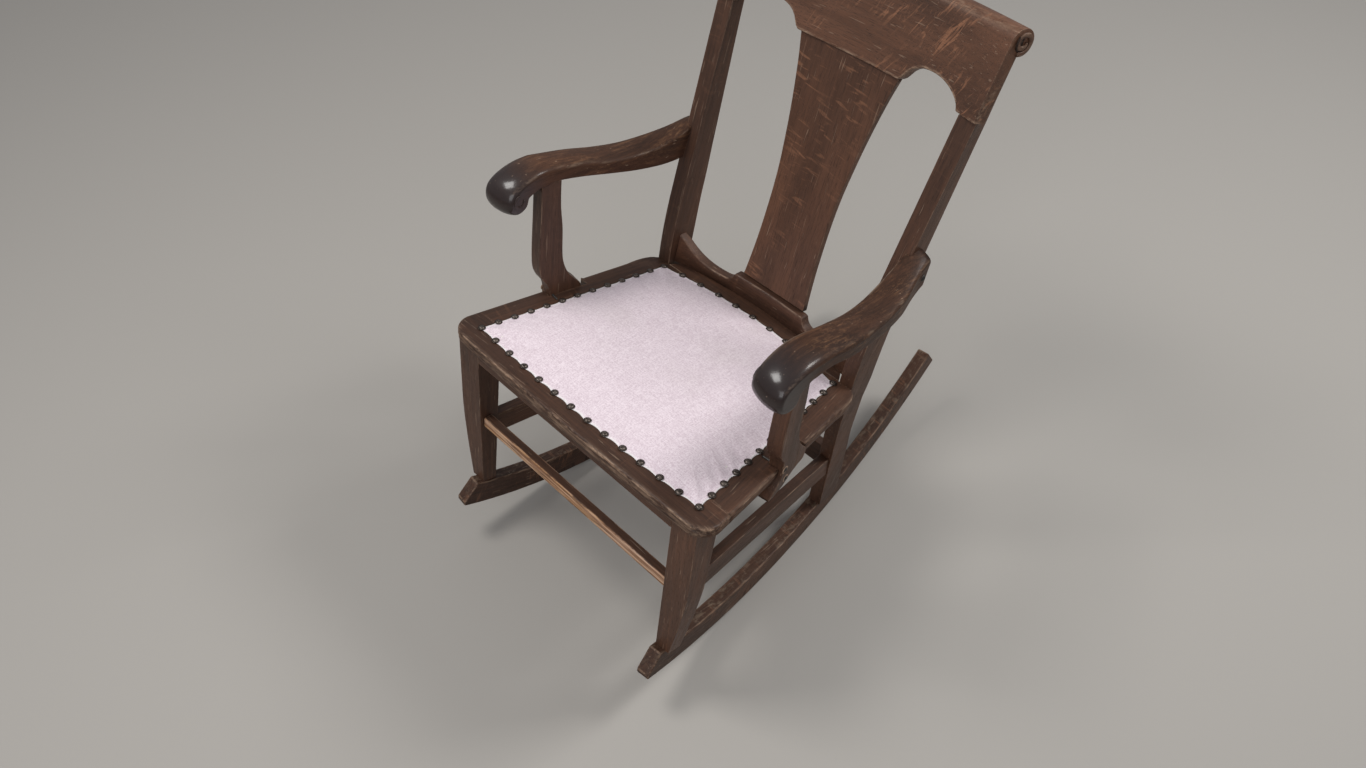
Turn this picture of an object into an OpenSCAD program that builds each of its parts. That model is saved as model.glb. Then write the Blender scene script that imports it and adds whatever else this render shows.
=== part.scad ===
// An armed rocking chair in dark stained oak, with an upholstered pad
// tacked to a board seat, on two bent runners. Units are millimetres.
// Every piece is drawn in the seat's own frame: x to the sitter's left and
// right, y from the front row of nails to the back, z square to the seat
// with zero at the top of the seat boards. The last transform leans the
// seat back and stands the runners on the floor.

/* [Seat] */
// Width over the seat boards at the front corners
seat_w = 543; // [520:1:570]
// From the front row of nails to the front faces of the back posts
seat_d = 353; // [340:1:380]
// Margin of bare board in front of the nails at the corners
front_margin = 31.5; // [26:0.5:40]
// How far the front edge bows forward in the middle
front_bow = 5; // [2:0.5:9]
// Radius of the front corners
corner_r = 33; // [26:1:40]
// Thickness of the seat boards
board_t = 19; // [17:0.5:22]
// Width of the front board behind the nails
front_board_in = 24; // [20:1:34]
// Width of the side boards
side_board_w = 68; // [60:1:76]
// Width of the back board
back_board_w = 84; // [76:1:94]
// Angle that the sides draw in towards the back
side_angle = 7.97; // [7:0.01:9]
// Lean of the seat when the chair stands at rest
seat_slope = 11.4; // [9:0.1:13]

/* [Rails and legs] */
// Height of the front apron under the board
apron_h = 22; // [18:1:28]
// Thickness of the front apron
apron_t = 20; // [16:1:24]
// Height of the side rails under the boards
side_rail_h = 31; // [26:1:34]
// Thickness of the side rails
side_rail_t = 20; // [16:1:24]
// Distance of a side rail's outer face from the board's edge
side_rail_in = 18; // [16:0.5:20]
// Distance of the front legs' inner faces from the boards' edge
leg_in = 61.5; // [58:0.5:66]
// Width of a front leg at the top
leg_top_w = 46; // [42:1:50]
// Width of a front leg at the runner
leg_foot_w = 23; // [21:1:26]
// Depth of a front leg at the top
leg_top_d = 44; // [38:1:48]
// Depth of a front leg at the runner
leg_foot_d = 24; // [22:1:28]
// Setback of the legs' front faces from the board's edge at the top
leg_setback = 6; // [3:0.5:9]
// Further setback of the front faces at the runner
leg_lean = 13; // [8:1:16]
// Height of the front stretcher's top below the seat
front_str_drop = 161; // [140:1:175]
// Height of the front stretcher
front_str_h = 19; // [16:0.5:24]
// Depth of the front stretcher
front_str_d = 16; // [14:0.5:18]
// Setback of the front stretcher behind the legs' front faces
front_str_set = 6; // [3:0.5:8]
// Height of the side stretchers' tops below the seat
side_str_drop = 173; // [165:1:185]
// Height of the side and back stretchers
side_str_h = 40; // [32:1:46]
// Thickness of the side and back stretchers
side_str_t = 18; // [15:0.5:20]

/* [Runners] */
// Radius of a runner's underside
runner_r = 835; // [820:1:850]
// Height of a runner in the middle
runner_h = 46; // [42:0.5:48]
// Extra radius lost by the upper curve, which thins the ends
runner_thin = 9; // [6:0.5:11]
// Thickness of a runner
runner_t = 23; // [21:0.5:24]
// Centre of the underside's arc in front of the posts
runner_ahead = 178; // [165:1:190]
// Length of the flat worn under a runner where the chair stands
runner_flat = 70; // [50:1:90]
// Underside's lowest point below the seat
runner_drop = 378; // [370:1:384]
// Length of a runner in front of the nail row
runner_nose = 49; // [44:1:56]
// Length of a runner behind the posts' front faces
runner_back = 372; // [350:1:386]
// Outer face of a runner at its nose, out from the legs' inner faces
runner_out = 24.6; // [23.5:0.1:26]
// Angle that the runners draw in towards the back
runner_angle = 5.74; // [5:0.01:6.2]
// Length of the sloped face on a runner's nose
nose_l = 25; // [20:1:30]
// Blunt end left at a runner's nose
nose_blunt = 9; // [6:1:12]

/* [Back] */
// Width of a back post at the seat
post_w = 24; // [21:0.5:26]
// Extra width of a back post at the crest
post_flare = 4.5; // [3:0.5:7]
// Depth of a back post at the seat, where it is deepest
post_d = 50; // [46:0.5:54]
// Lean of the back posts from square to the seat
post_rake = 12.55; // [10:0.05:15]
// Height of the bend above the seat
post_bend = 120; // [90:1:150]
// Splay of the back posts outward going up
post_splay = 3.15; // [2:0.05:4]
// How far the posts' feet kick back
post_kick = 48; // [40:1:54]
// How far the posts' feet draw in
post_draw = 21; // [18:1:24]
// Height of the crest's lower edge above the seat
crest_z = 427; // [410:1:450]
// Height of the crest, along its lean
crest_h = 129; // [120:1:136]
// Thickness of the crest panel
crest_t = 19; // [17:0.5:21]
// Diameter of the roll along the crest's top
roll_d = 37; // [33:0.5:40]
// Extra width over the crest at its top
crest_flare = 12; // [8:1:16]
// How far the crest and the lower rail curve back in the middle
back_bow = 26.2; // [22:0.1:30]
// How far the crest stands in front of the posts
crest_proud = 4; // [2:0.5:6]
// Height of the lower rail where it meets the posts
rail_end_h = 54; // [48:1:60]
// Height of the lower rail at its dips
rail_dip_h = 17; // [14:1:22]
// Height of the lower rail under the splat
rail_mid_h = 32; // [28:1:38]
// Thickness of the lower rail
rail_t = 19; // [17:0.5:21]
// Width of the splat at the lower rail
splat_foot_w = 128; // [120:1:136]
// Thickness of the splat
splat_t = 11; // [9:0.5:13]

/* [Arms] */
// Width of an arm over its front roll
arm_front_w = 57; // [52:1:60]
// Width of an arm at its back end
arm_end_w = 36; // [33:0.5:38]
// Height of the arm's top above the seat at its highest part in front
arm_h = 232; // [226:1:240]
// Height of the arm's top at its lowest part
arm_low_h = 208; // [202:1:214]
// Height of the arm's top at the post
arm_end_h = 244; // [236:1:252]
// How far an arm's top leans down to its outer edge
arm_tilt = 8; // [4:0.5:10]
// Diameter of the roll at the arm's front
arm_roll_d = 48; // [44:1:50]
// Front of the roll, behind the nail row
arm_front_y = 54; // [46:1:60]
// Distance of an arm's inner edge in front from the boards' edge
arm_in = 38.5; // [36:0.5:41]
// Thickness of an arm support
support_t = 25; // [22:0.5:27]
// How far an arm support stands out of the board's edge
support_out = 7; // [5:0.5:9]
// Front of an arm support, behind the nail row
support_y = 117; // [110:1:124]

/* [Upholstery] */
// Distance of the side nails from the boards' edge, measured straight across
nail_in = 39.5; // [36:0.5:44]
// Distance of the back corner nails from the posts' front faces
nail_back_in = 13; // [10:0.5:18]
// Gaps between nails along the front
front_gaps = 13; // [10:1:16]
// Gaps between nails along each side
side_gaps = 12; // [9:1:14]
// Gaps between nails along the back
back_gaps = 10; // [8:1:12]
// Diameter of a nail's head
nail_head_d = 11; // [9:0.5:12]
// Depth of the scallops that the nails pull in the cover's edge
scallop = 4; // [1:0.5:5]
// Height of the pad's crown above the boards
crown_h = 17; // [13:0.5:22]

/* [Hidden] */

oak = [0.27, 0.18, 0.13];
oak_dark = [0.2, 0.14, 0.11];
oak_worn = [0.45, 0.3, 0.2];
iron = [0.12, 0.11, 0.11];
steel = [0.35, 0.34, 0.33];
jute = [0.6, 0.5, 0.36];
cotton = [0.85, 0.83, 0.78];
cloth = [0.86, 0.8, 0.82];
bronze = [0.3, 0.24, 0.19];

// One overrun serves every cut, and one clearance every loose fit
over = 40;
deep_cut = 3 * over;
ease = 0.3;
turned_sides = 10;
roll_sides = 20;

// Seat outline, right half first and then mirrored
side_tan = tan(side_angle);
front_y = -front_margin;
corner_cx = seat_w / 2 - corner_r;
corner_cy = front_y + corner_r;
corner_steps = 10;
bow_steps = 10;
post_out = 60.5;
post_x0 = seat_w / 2 - post_out;
leg_in_x = seat_w / 2 - leg_in;
arm_in_x = seat_w / 2 - arm_in;
nail_half_w = seat_w / 2 - nail_in;
nail_d = seat_d - nail_back_in;
nail_back_half_w = nail_half_w - nail_d * side_tan;
runner_x = leg_in_x + runner_out;
runner_cy = seat_d - runner_ahead;
runner_tail = seat_d + runner_back;
back_r = post_x0 * post_x0 / (2 * back_bow);
round_off_share = 0.84;
tail_y = seat_d * round_off_share;
tail_steps = 6;
back_margin = 35;
board_back_y = seat_d + back_margin;
function side_x(y) = seat_w / 2 - (y - corner_cy) * side_tan;
function bow_y(x) = front_y - front_bow * (1 - pow(x / corner_cx, 2));
function half_outline() = concat(
    [for (i = [0 : bow_steps]) [corner_cx * i / bow_steps, bow_y(corner_cx * i / bow_steps)]],
    [for (i = [1 : corner_steps]) let (a = -90 + 90 * i / corner_steps)
        [corner_cx + corner_r * cos(a), corner_cy + corner_r * sin(a)]],
    [for (i = [0 : tail_steps]) let (a = 90 * i / tail_steps)
        [post_x0 + (side_x(tail_y) - post_x0) * cos(a), tail_y + (seat_d - tail_y) * sin(a)]]);
function mirrored(p) = [for (i = [len(p) - 1 : -1 : 0]) [-p[i][0], p[i][1]]];
function whole(p) = concat(p, mirrored(p));
function rail_y(x) = board_back_y - x * x / (2 * back_r);

// Runner arcs, along a runner's own length from its nose
runner_cos = cos(runner_angle);
arc_y = (runner_cy + runner_nose) / runner_cos;
arc_z = runner_r - runner_drop;
top_r = runner_r - runner_h + runner_thin;
top_z = arc_z + runner_thin;
tail_l = (runner_tail + runner_nose) / runner_cos;
runner_steps = 40;
function arc_s(z0, r, s) = z0 - sqrt(r * r - pow(s - arc_y, 2));
function arc_point(z0, r, a) = [arc_y + r * sin(a), z0 - r * cos(a)];
low_a0 = -asin(arc_y / runner_r);
low_a1 = asin((tail_l - arc_y) / runner_r);
top_a0 = -asin((arc_y - nose_l) / top_r);
tail_share = 0.985;
top_a1 = low_a1 * tail_share;

// The flat under a runner is level when the chair stands
slope_s = sin(seat_slope);
slope_c = cos(seat_slope);
flat_turn = asin(runner_flat / 2 / runner_r);
flat_at = atan(runner_cos * slope_s / slope_c);
flat_steps = 20;

// Post lines, as functions of the height over the seat
post_low_shares = [[0, 0.98], [0.022, 0.95], [0.124, 0.83], [0.23, 0.82], [0.335, 0.765], [0.41, 0.795],
    [0.59, 0.84], [0.78, 0.88], [1, 0.92]];
post_high_shares = [[0, 0.98], [0.06, 1.02], [0.16, 1.03], [0.25, 0.98], [0.36, 0.94], [0.48, 0.855],
    [0.56, 0.81], [0.66, 0.745], [0.8, 0.66], [0.94, 0.575], [1, 0.55], [1.09, 0.48], [1.21, 0.42]];
post_kick_shares = [[0, 0], [0.14, 0.07], [0.26, 0.142], [0.4, 0.3], [1, 1]];
rake_t = tan(post_rake);
splay_t = tan(post_splay);
foot_z = -runner_drop + runner_h / 2;
post_top_z = crest_z + (crest_h - roll_d) * cos(post_rake) - ease;
function bend_f(z) = z <= 0 ? 0 : z < post_bend ? z * z / (2 * post_bend) : z - post_bend / 2;
function post_y(z) = seat_d + rake_t * bend_f(z) + (z < 0 ? post_kick * lookup(z / foot_z, post_kick_shares) : 0);
function post_depth(z) = post_d * (z < 0 ? lookup(z / foot_z, post_low_shares) : lookup(z / crest_z, post_high_shares));
function post_x(z) = post_x0 + splay_t * bend_f(z) - (z < 0 ? post_draw * z / foot_z : 0);
function post_width(z) = post_w + (z > 0 ? post_flare * z / crest_z : 0);
post_steps_low = 9;
post_steps_high = 18;
post_levels = concat([for (i = [0 : post_steps_low - 1]) foot_z * (1 - i / post_steps_low)],
    [for (i = [0 : post_steps_high]) post_top_z * i / post_steps_high]);

// Crest and splat
crest_over = 1.6;
crest_w = 2 * post_x(crest_z) + crest_over;
crest_top_w = crest_w + crest_flare;
crest_y = post_y(crest_z) + back_bow - crest_proud;
crest_turn = asin(crest_top_w / 2 / back_r) + 2;
splat_low_y = rail_y(0) + rake_t * rail_mid_h + rail_t / 4;
splat_high_y = crest_y + (crest_t - splat_t) / 2;
splat_lean = atan((splat_high_y - splat_low_y) / (crest_z - rail_mid_h));
splat_l = (crest_z - rail_mid_h) / cos(splat_lean);

// Nail places along the cover's edge
function edge_pts(a, b, n) = [for (i = [0 : n - 1]) a + (b - a) * i / n];
nail_front_bow = 7;
nail_back_bow = 20;
front_nails = [for (p = edge_pts([-nail_half_w, 0], [nail_half_w, 0], front_gaps))
    [p[0], -nail_front_bow * (1 - pow(p[0] / nail_half_w, 2))]];
right_nails = edge_pts([nail_half_w, 0], [nail_back_half_w, nail_d], side_gaps);
back_nails = [for (p = edge_pts([nail_back_half_w, nail_d], [-nail_back_half_w, nail_d], back_gaps))
    [p[0], p[1] + nail_back_bow * (1 - pow(p[0] / nail_back_half_w, 2))]];
left_nails = edge_pts([-nail_back_half_w, nail_d], [-nail_half_w, 0], side_gaps);
nails = concat(front_nails, right_nails, back_nails, left_nails);

// The floor under the leaning seat, and the middle of the chair's length
lift = runner_r * cos(flat_turn) * sqrt(pow(slope_c, 2) + pow(runner_cos * slope_s, 2))
    + (arc_y * runner_cos - runner_nose) * slope_s - arc_z * slope_c;
function level_y(y, z) = y * slope_c + z * slope_s;
nose_low = level_y(-runner_nose - runner_t * sin(runner_angle), arc_s(arc_z, runner_r, 0));
tail_high = level_y(tail_l * runner_cos - runner_nose, arc_s(arc_z, runner_r, tail_l));
middle_y = (nose_low + tail_high) / 2;

module stand() {
    translate([0, -middle_y, lift])
        rotate([-seat_slope, 0, 0])
            children();
}

module both() {
    children();
    mirror([1, 0, 0])
        children();
}

// A flat shape drawn in y and z, as thick as w along x from x0
module side_slab(x0, w) {
    translate([x0, 0, 0])
        rotate([90, 0, 90])
            linear_extrude(w)
                children();
}

// A flat shape drawn in x and z, as thick as w along y from y0
module front_slab(y0, w) {
    translate([0, y0 + w, 0])
        rotate([90, 0, 0])
            linear_extrude(w)
                children();
}

// The frame of a seat side: x out of the board's edge, y along it
module side_frame() {
    translate([side_x(0), 0, 0])
        rotate([0, 0, side_angle])
            children();
}

module runner_shape(drop) {
    polygon(concat(
        [for (i = [0 : flat_steps]) arc_point(arc_z - drop, runner_r, low_a0 + (flat_at - flat_turn - low_a0) * i / flat_steps)],
        [for (i = [flat_steps : -1 : 0]) arc_point(arc_z - drop, runner_r, low_a1 + (flat_at + flat_turn - low_a1) * i / flat_steps)],
        [for (i = [runner_steps : -1 : 0]) arc_point(top_z, top_r, top_a0 + (top_a1 - top_a0) * i / runner_steps)],
        [[0, arc_s(arc_z, runner_r, 0) + nose_blunt]]));
}

module runner_frame() {
    translate([runner_x, -runner_nose, 0])
        rotate([0, 0, runner_angle])
            children();
}

module runner() {
    color(oak)
        runner_frame()
            side_slab(-runner_t, runner_t)
                runner_shape(0);
}

// What is cut from a leg or post so that it stands on the runner's curve
module runner_cut() {
    runner_frame()
        side_slab(-runner_t - over, runner_t + 2 * over)
            runner_shape(deep_cut);
}

// Front leg: a straight inner edge and an outer edge that sweeps in below
leg_steps = 12;
leg_sweep_share = 0.42;
leg_sweep_z = foot_z * leg_sweep_share;
leg_sweep_power = 1.4;
leg_sweep_h = foot_z + runner_h / 2 - leg_sweep_z;
function leg_out_x(z) = leg_in_x + leg_top_w
    - (z < leg_sweep_z ? (leg_top_w - leg_foot_w) * pow((z - leg_sweep_z) / leg_sweep_h, leg_sweep_power) : 0);
function leg_front_y(z) = front_y + leg_setback + leg_lean * z / foot_z;
function leg_back_y(z) = leg_front_y(0) + leg_top_d
    + (leg_front_y(foot_z) + leg_foot_d - leg_front_y(0) - leg_top_d) * z / foot_z;
leg_levels = [for (i = [0 : leg_steps]) -board_t + (foot_z + board_t) * i / leg_steps];

module front_leg() {
    color(oak)
        difference() {
            intersection() {
                front_slab(front_y, leg_top_d + over)
                    polygon(concat([for (z = leg_levels) [leg_out_x(z), z]],
                        [[leg_in_x, foot_z], [leg_in_x, -board_t]]));
                side_slab(leg_in_x - over, leg_top_w + 2 * over)
                    polygon([[leg_front_y(-board_t), -board_t], [leg_front_y(foot_z), foot_z],
                        [leg_back_y(foot_z), foot_z], [leg_back_y(-board_t), -board_t]]);
            }
            runner_cut();
        }
}

module post_blank() {
    intersection() {
        front_slab(seat_d - over, seat_d)
            polygon(concat([for (z = post_levels) [post_x(z), z]],
                [for (i = [len(post_levels) - 1 : -1 : 0]) let (z = post_levels[i]) [post_x(z) - post_width(z), z]]));
        side_slab(post_x0 - over - post_draw, seat_w)
            polygon(concat([for (z = post_levels) [post_y(z), z]],
                [for (i = [len(post_levels) - 1 : -1 : 0]) let (z = post_levels[i]) [post_y(z) + post_depth(z), z]]));
    }
}

module back_post() {
    color(oak)
        difference() {
            post_blank();
            runner_cut();
            crest_blank();
        }
}

module front_stretcher() {
    color(oak_worn)
        translate([-leg_in_x, leg_front_y(-front_str_drop) + front_str_set, -front_str_drop - front_str_h])
            cube([2 * leg_in_x, front_str_d, front_str_h]);
}

// Side stretcher: a bar on edge from the leg's back face to the post
str_front_x = leg_in_x + (leg_foot_w - side_str_t) / 2 + side_str_t / 2;
str_mid_z = -side_str_drop - side_str_h / 2;
str_back_x = post_x(str_mid_z) - post_w / 2;
str_run = post_y(str_mid_z) - leg_back_y(str_mid_z);
str_into = post_y(-side_str_drop - side_str_h) - post_y(str_mid_z) + side_str_t / 6;
str_angle = atan((str_front_x - str_back_x) / str_run);
module side_stretcher() {
    color(oak)
        difference() {
            translate([str_front_x, leg_back_y(str_mid_z), -side_str_drop - side_str_h])
                rotate([0, 0, str_angle])
                    translate([-side_str_t / 2, -over / 2, 0])
                        cube([side_str_t, str_run + over / 2 + str_into, side_str_h]);
            side_slab(leg_in_x - over, leg_top_w + 2 * over)
                polygon([[leg_front_y(0) - over, 0], [leg_front_y(foot_z) - over, foot_z],
                    [leg_back_y(foot_z), foot_z], [leg_back_y(0), 0]]);
            post_blank();
        }
}

module back_stretcher() {
    color(oak)
        difference() {
            translate([-post_x0, post_y(str_mid_z) + (post_depth(str_mid_z) - side_str_t) / 2,
                -side_str_drop - side_str_h])
                cube([2 * post_x0, side_str_t, side_str_h]);
            both()
                front_slab(seat_d - over, seat_d)
                    polygon([[post_x(0) - post_w, 0], [post_x(foot_z) - post_w, foot_z],
                        [post_x(0) + over, foot_z], [post_x(0) + over, 0]]);
        }
}

// Notch that the arm support fills, in the side frame
notch_back = 21;
notch_y = support_y + notch_back;
notch_l = 71;
module support_notch() {
    side_frame()
        translate([-side_rail_in, notch_y, -board_t - over])
            cube([side_rail_in + over, notch_l, board_t + 2 * over]);
}

module seat_slab() {
    translate([0, 0, -board_t])
        linear_extrude(board_t)
            children();
}

module seat_board_front() {
    color(oak)
        intersection() {
            seat_slab()
                polygon(whole(half_outline()));
            translate([-seat_w, front_y - over, -board_t])
                cube([2 * seat_w, front_board_in - front_y + over, board_t]);
        }
}

module seat_board_side() {
    color(oak)
        difference() {
            intersection() {
                seat_slab()
                    polygon(whole(half_outline()));
                side_frame()
                    translate([-side_board_w, -over, -board_t])
                        cube([side_board_w + over, seat_d + 2 * over, board_t]);
                translate([0, front_board_in, -board_t])
                    cube([seat_w, seat_d, board_t]);
            }
            support_notch();
        }
}

// Back board: between the side boards and the posts, curved behind
back_board_y = board_back_y - back_board_w + rail_t;
back_steps = 8;
board_side_w = side_board_w / cos(side_angle) + ease;
post_in_x = post_x(-board_t) - post_w - ease;
function board_in_x(y) = side_x(y) - board_side_w;
module seat_board_back() {
    color(oak)
        seat_slab()
            polygon(whole(concat(
                [[0, back_board_y], [board_in_x(back_board_y), back_board_y], [board_in_x(seat_d), seat_d + ease]],
                [for (i = [back_steps : -1 : 0]) let (x = post_in_x * i / back_steps)
                    [x, i == back_steps ? seat_d + ease : rail_y(x) + rail_t]])));
}

module front_apron() {
    color(oak)
        translate([-leg_in_x, leg_front_y(-board_t), -board_t - apron_h])
            cube([2 * leg_in_x, apron_t, apron_h]);
}

module side_rail() {
    color(oak_dark)
        difference() {
            side_frame()
                translate([-side_rail_in - side_rail_t, 0, -board_t - side_rail_h])
                    cube([side_rail_t, seat_d + over, side_rail_h]);
            side_slab(0, seat_w)
                polygon([[leg_front_y(0) - over, 0], [leg_front_y(foot_z) - over, foot_z],
                    [leg_back_y(foot_z), foot_z], [leg_back_y(0), 0]]);
            post_blank();
        }
}

// Triangular blocks glued under the boards in the corners of the rails
block_leg = 52;
block_t = 20;
block_front_y = leg_front_y(-board_t) + apron_t;
block_screw_d = 4.5;
block_screw_l = 34;
block_spot_share = 0.3;
module corner_blocks() {
    color(oak_dark)
        both()
            translate([leg_in_x, block_front_y, -board_t - block_t])
                linear_extrude(block_t)
                    polygon([[0, 0], [-block_leg, 0], [0, block_leg]]);
}

// A many-sided turned piece from a list of radii and heights, lowest first
function turned_row(r, h) = [for (i = [0 : turned_sides - 1]) let (a = 360 * i / turned_sides) [r * cos(a), r * sin(a), h]];
function turned_i(row, i) = row * turned_sides + i % turned_sides;
module turned(rows) {
    last = len(rows) - 1;
    polyhedron(
        points = [for (row = rows) each turned_row(row[0], row[1])],
        faces = concat(
            [[for (i = [0 : turned_sides - 1]) i]],
            [for (row = [0 : last - 1]) for (i = [0 : turned_sides - 1])
                [turned_i(row, i), turned_i(row + 1, i), turned_i(row + 1, i + 1), turned_i(row, i + 1)]],
            [[for (i = [turned_sides - 1 : -1 : 0]) turned_i(last, i)]]));
}

head_share = 0.75;
module screw(shank_d, head_d, head_h, l) {
    turned([[head_d / 2 * head_share, -head_h], [head_d / 2, 0], [shank_d / 2, 0], [shank_d / 2, l]]);
}

module corner_block_screws() {
    color(steel)
        both()
            translate([leg_in_x - block_leg * block_spot_share, block_front_y + block_leg * block_spot_share,
                -board_t - block_t])
                screw(block_screw_d, 2 * block_screw_d, block_screw_d / 2, block_screw_l);
}

// Lower back rail: a bowed board whose top dips beside the splat
rail_shares = [[0, 1], [0.36, 1], [0.38, 0.5], [0.41, 0.14], [0.46, 0]];
rail_end_shares = [[0.54, 0], [0.63, 0.06], [0.72, 0.2], [0.8, 0.42], [0.88, 0.72], [0.95, 0.94], [1, 1]];
rail_half = post_x0 - post_w / 2;
rail_steps = 12;
rail_rise = rail_mid_h - rail_dip_h;
rail_end_rise = rail_end_h - rail_dip_h;
rail_top_line = concat([for (s = rail_shares) [rail_half * s[0], rail_dip_h + rail_rise * s[1]]],
    [for (s = rail_end_shares) [rail_half * s[0], rail_dip_h + rail_end_rise * s[1]]]);
module lower_back_rail() {
    color(oak)
        difference() {
            intersection() {
                linear_extrude(2 * rail_end_h)
                    polygon(concat(
                        [for (i = [-rail_steps : rail_steps]) let (x = rail_half * i / rail_steps) [x, rail_y(x)]],
                        [for (i = [rail_steps : -1 : -rail_steps]) let (x = rail_half * i / rail_steps)
                            [x, rail_y(x) + rail_t]]));
                front_slab(seat_d - over, 3 * over)
                    polygon(whole(concat(rail_top_line, [[rail_half, 0]])));
            }
            both()
                post_blank();
        }
}

// Splat: the ends run over and are trimmed square to the rail and the crest
splat_shares = [[-0.02, 1], [0, 1], [0.12, 0.94], [0.25, 0.905], [0.4, 0.9], [0.55, 0.95], [0.7, 1.055],
    [0.82, 1.16], [0.92, 1.27], [1, 1.39], [1.02, 1.39]];
module splat() {
    color(oak)
        difference() {
            translate([0, splat_low_y, rail_mid_h])
                rotate([-splat_lean, 0, 0])
                    front_slab(0, splat_t)
                        polygon(whole([for (s = splat_shares) [splat_foot_w / 2 * s[1], splat_l * s[0]]]));
            translate([-seat_w / 2, seat_d, rail_mid_h - over])
                cube([seat_w, 2 * over, over]);
            crest_frame()
                translate([-seat_w / 2, -over, 0])
                    cube([seat_w, 2 * over, over]);
        }
}

// Crest: a panel bowed in plan whose top edge rolls over backward
roll_low_a = -88;
roll_z_up = crest_h - roll_d / 2;
module crest_section() {
    polygon(concat(
        [[back_r, 0]],
        [for (i = [0 : roll_sides]) let (a = 180 + (roll_low_a - 180) * i / roll_sides)
            [back_r + roll_d / 2 + roll_d / 2 * cos(a), roll_z_up + roll_d / 2 * sin(a)]],
        [[back_r + crest_t, roll_z_up - roll_d / 2], [back_r + crest_t, 0]]));
}

crest_fn = 180;
module crest_frame() {
    translate([0, crest_y, crest_z])
        rotate([-post_rake, 0, 0])
            children();
}

module crest_blank() {
    crest_frame()
        translate([0, -back_r, 0])
            rotate([0, 0, 90 - crest_turn])
                rotate_extrude(angle = 2 * crest_turn, $fn = crest_fn)
                    crest_section();
}

// The crest's lower edge, as shares of its half width and of its height
crest_shares = [[0.39, 0], [0.415, 0.012], [0.43, 0.06], [0.45, 0.13], [0.48, 0.19], [0.53, 0.225],
    [0.6, 0.235], [0.68, 0.22], [0.75, 0.18], [0.8, 0.13], [0.825, 0.09], [0.84, 0.05], [0.845, 0.02],
    [0.87, 0.012], [0.9, 0], [1, 0]];
module crest_panel() {
    color(oak)
        intersection() {
            crest_blank();
            crest_frame()
                front_slab(-back_r / 4, back_r / 2)
                    polygon(whole(concat([[0, 0]],
                        [for (s = crest_shares) [crest_w / 2 * s[0], crest_h * s[1]]],
                        [[crest_top_w / 2, crest_h + over], [0, crest_h + over]])));
        }
}

// Arm: one skin over rows along its length, with a scroll rolled under in front
arm_back = 22;
arm_end_y = post_y(arm_end_h) + arm_back;
arm_l = arm_end_y - arm_front_y;
arm_in_set = 23;
arm_under_z = 178;
arm_under_rise = 29;
arm_crown = 5;
roll_r = arm_roll_d / 2;
roll_y = arm_front_y + roll_r;
roll_z = arm_h - roll_r - arm_crown;
arm_dip = arm_h - arm_low_h;
arm_rise = arm_end_h - arm_low_h;
// Each row: place, inner set, width, height before and after the dip, lean, underside
arm_row_shares = [
    [0.127, 0, 1, 1, 0, 0.81, 0.86], [0.238, 0, 0.95, 0.936, 0, 0.87, 1], [0.377, 0.02, 0.875, 0.574, 0, 0.81, 0.69],
    [0.515, 0.22, 0.75, 0.149, 0, 0.56, 0.36], [0.654, 0.5, 0.675, 0, 0, 0.56, 0.1], [0.74, 0.69, 0.58, 0, 0.07, 0.8, 0.02],
    [0.792, 0.8, 0.5, 0, 0.194, 1, 0], [0.84, 0.89, 0.39, 0, 0.36, 1.05, 0.03], [0.889, 0.957, 0.275, 0, 0.556, 1.1, 0.07],
    [0.945, 1, 0.12, 0, 0.83, 1.1, 0.17], [1, 1, 0.02, 0, 1, 1, 0.31]];
arm_rows = len(arm_row_shares);
arm_across_shares = [[-1, 0], [-0.72, 0.7], [0, 1], [0.72, 0.7], [1, 0]];
roll_turns = 14;
roll_first_a = 62;
roll_last_a = 334;
arm_loop = 2 * arm_rows + roll_turns + 1;
function arm_w(s) = arm_end_w + (arm_front_w - arm_end_w) * s[2];
function arm_side_x(s, u) = arm_in_x - arm_in_set * s[1] + arm_w(s) * (u[0] + 1) / 2;
function arm_row_y(s) = arm_front_y + arm_l * s[0];
function arm_top_z(s, u) = arm_low_h + arm_dip * s[3] + arm_rise * s[4] - arm_tilt * s[5] * (u[0] + 1) / 2 + arm_crown * u[1];
function arm_low_z(s) = arm_under_z + arm_under_rise * s[6];
function arm_section(u) = concat(
    [for (s = arm_row_shares) [arm_side_x(s, u), arm_row_y(s), arm_top_z(s, u)]],
    [for (i = [arm_rows - 1 : -1 : 0]) let (s = arm_row_shares[i]) [arm_side_x(s, u), arm_row_y(s), arm_low_z(s)]],
    [for (i = [roll_turns : -1 : 0]) let (a = roll_first_a + (roll_last_a - roll_first_a) * i / roll_turns)
        [arm_side_x(arm_row_shares[0], u), roll_y + roll_r * cos(a),
            roll_z + roll_r * sin(a) - arm_tilt * (u[0] + 1) / 2 * max(0, sin(a))]]);
function arm_i(col, i) = col * arm_loop + i % arm_loop;
arm_cols = len(arm_across_shares);
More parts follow.
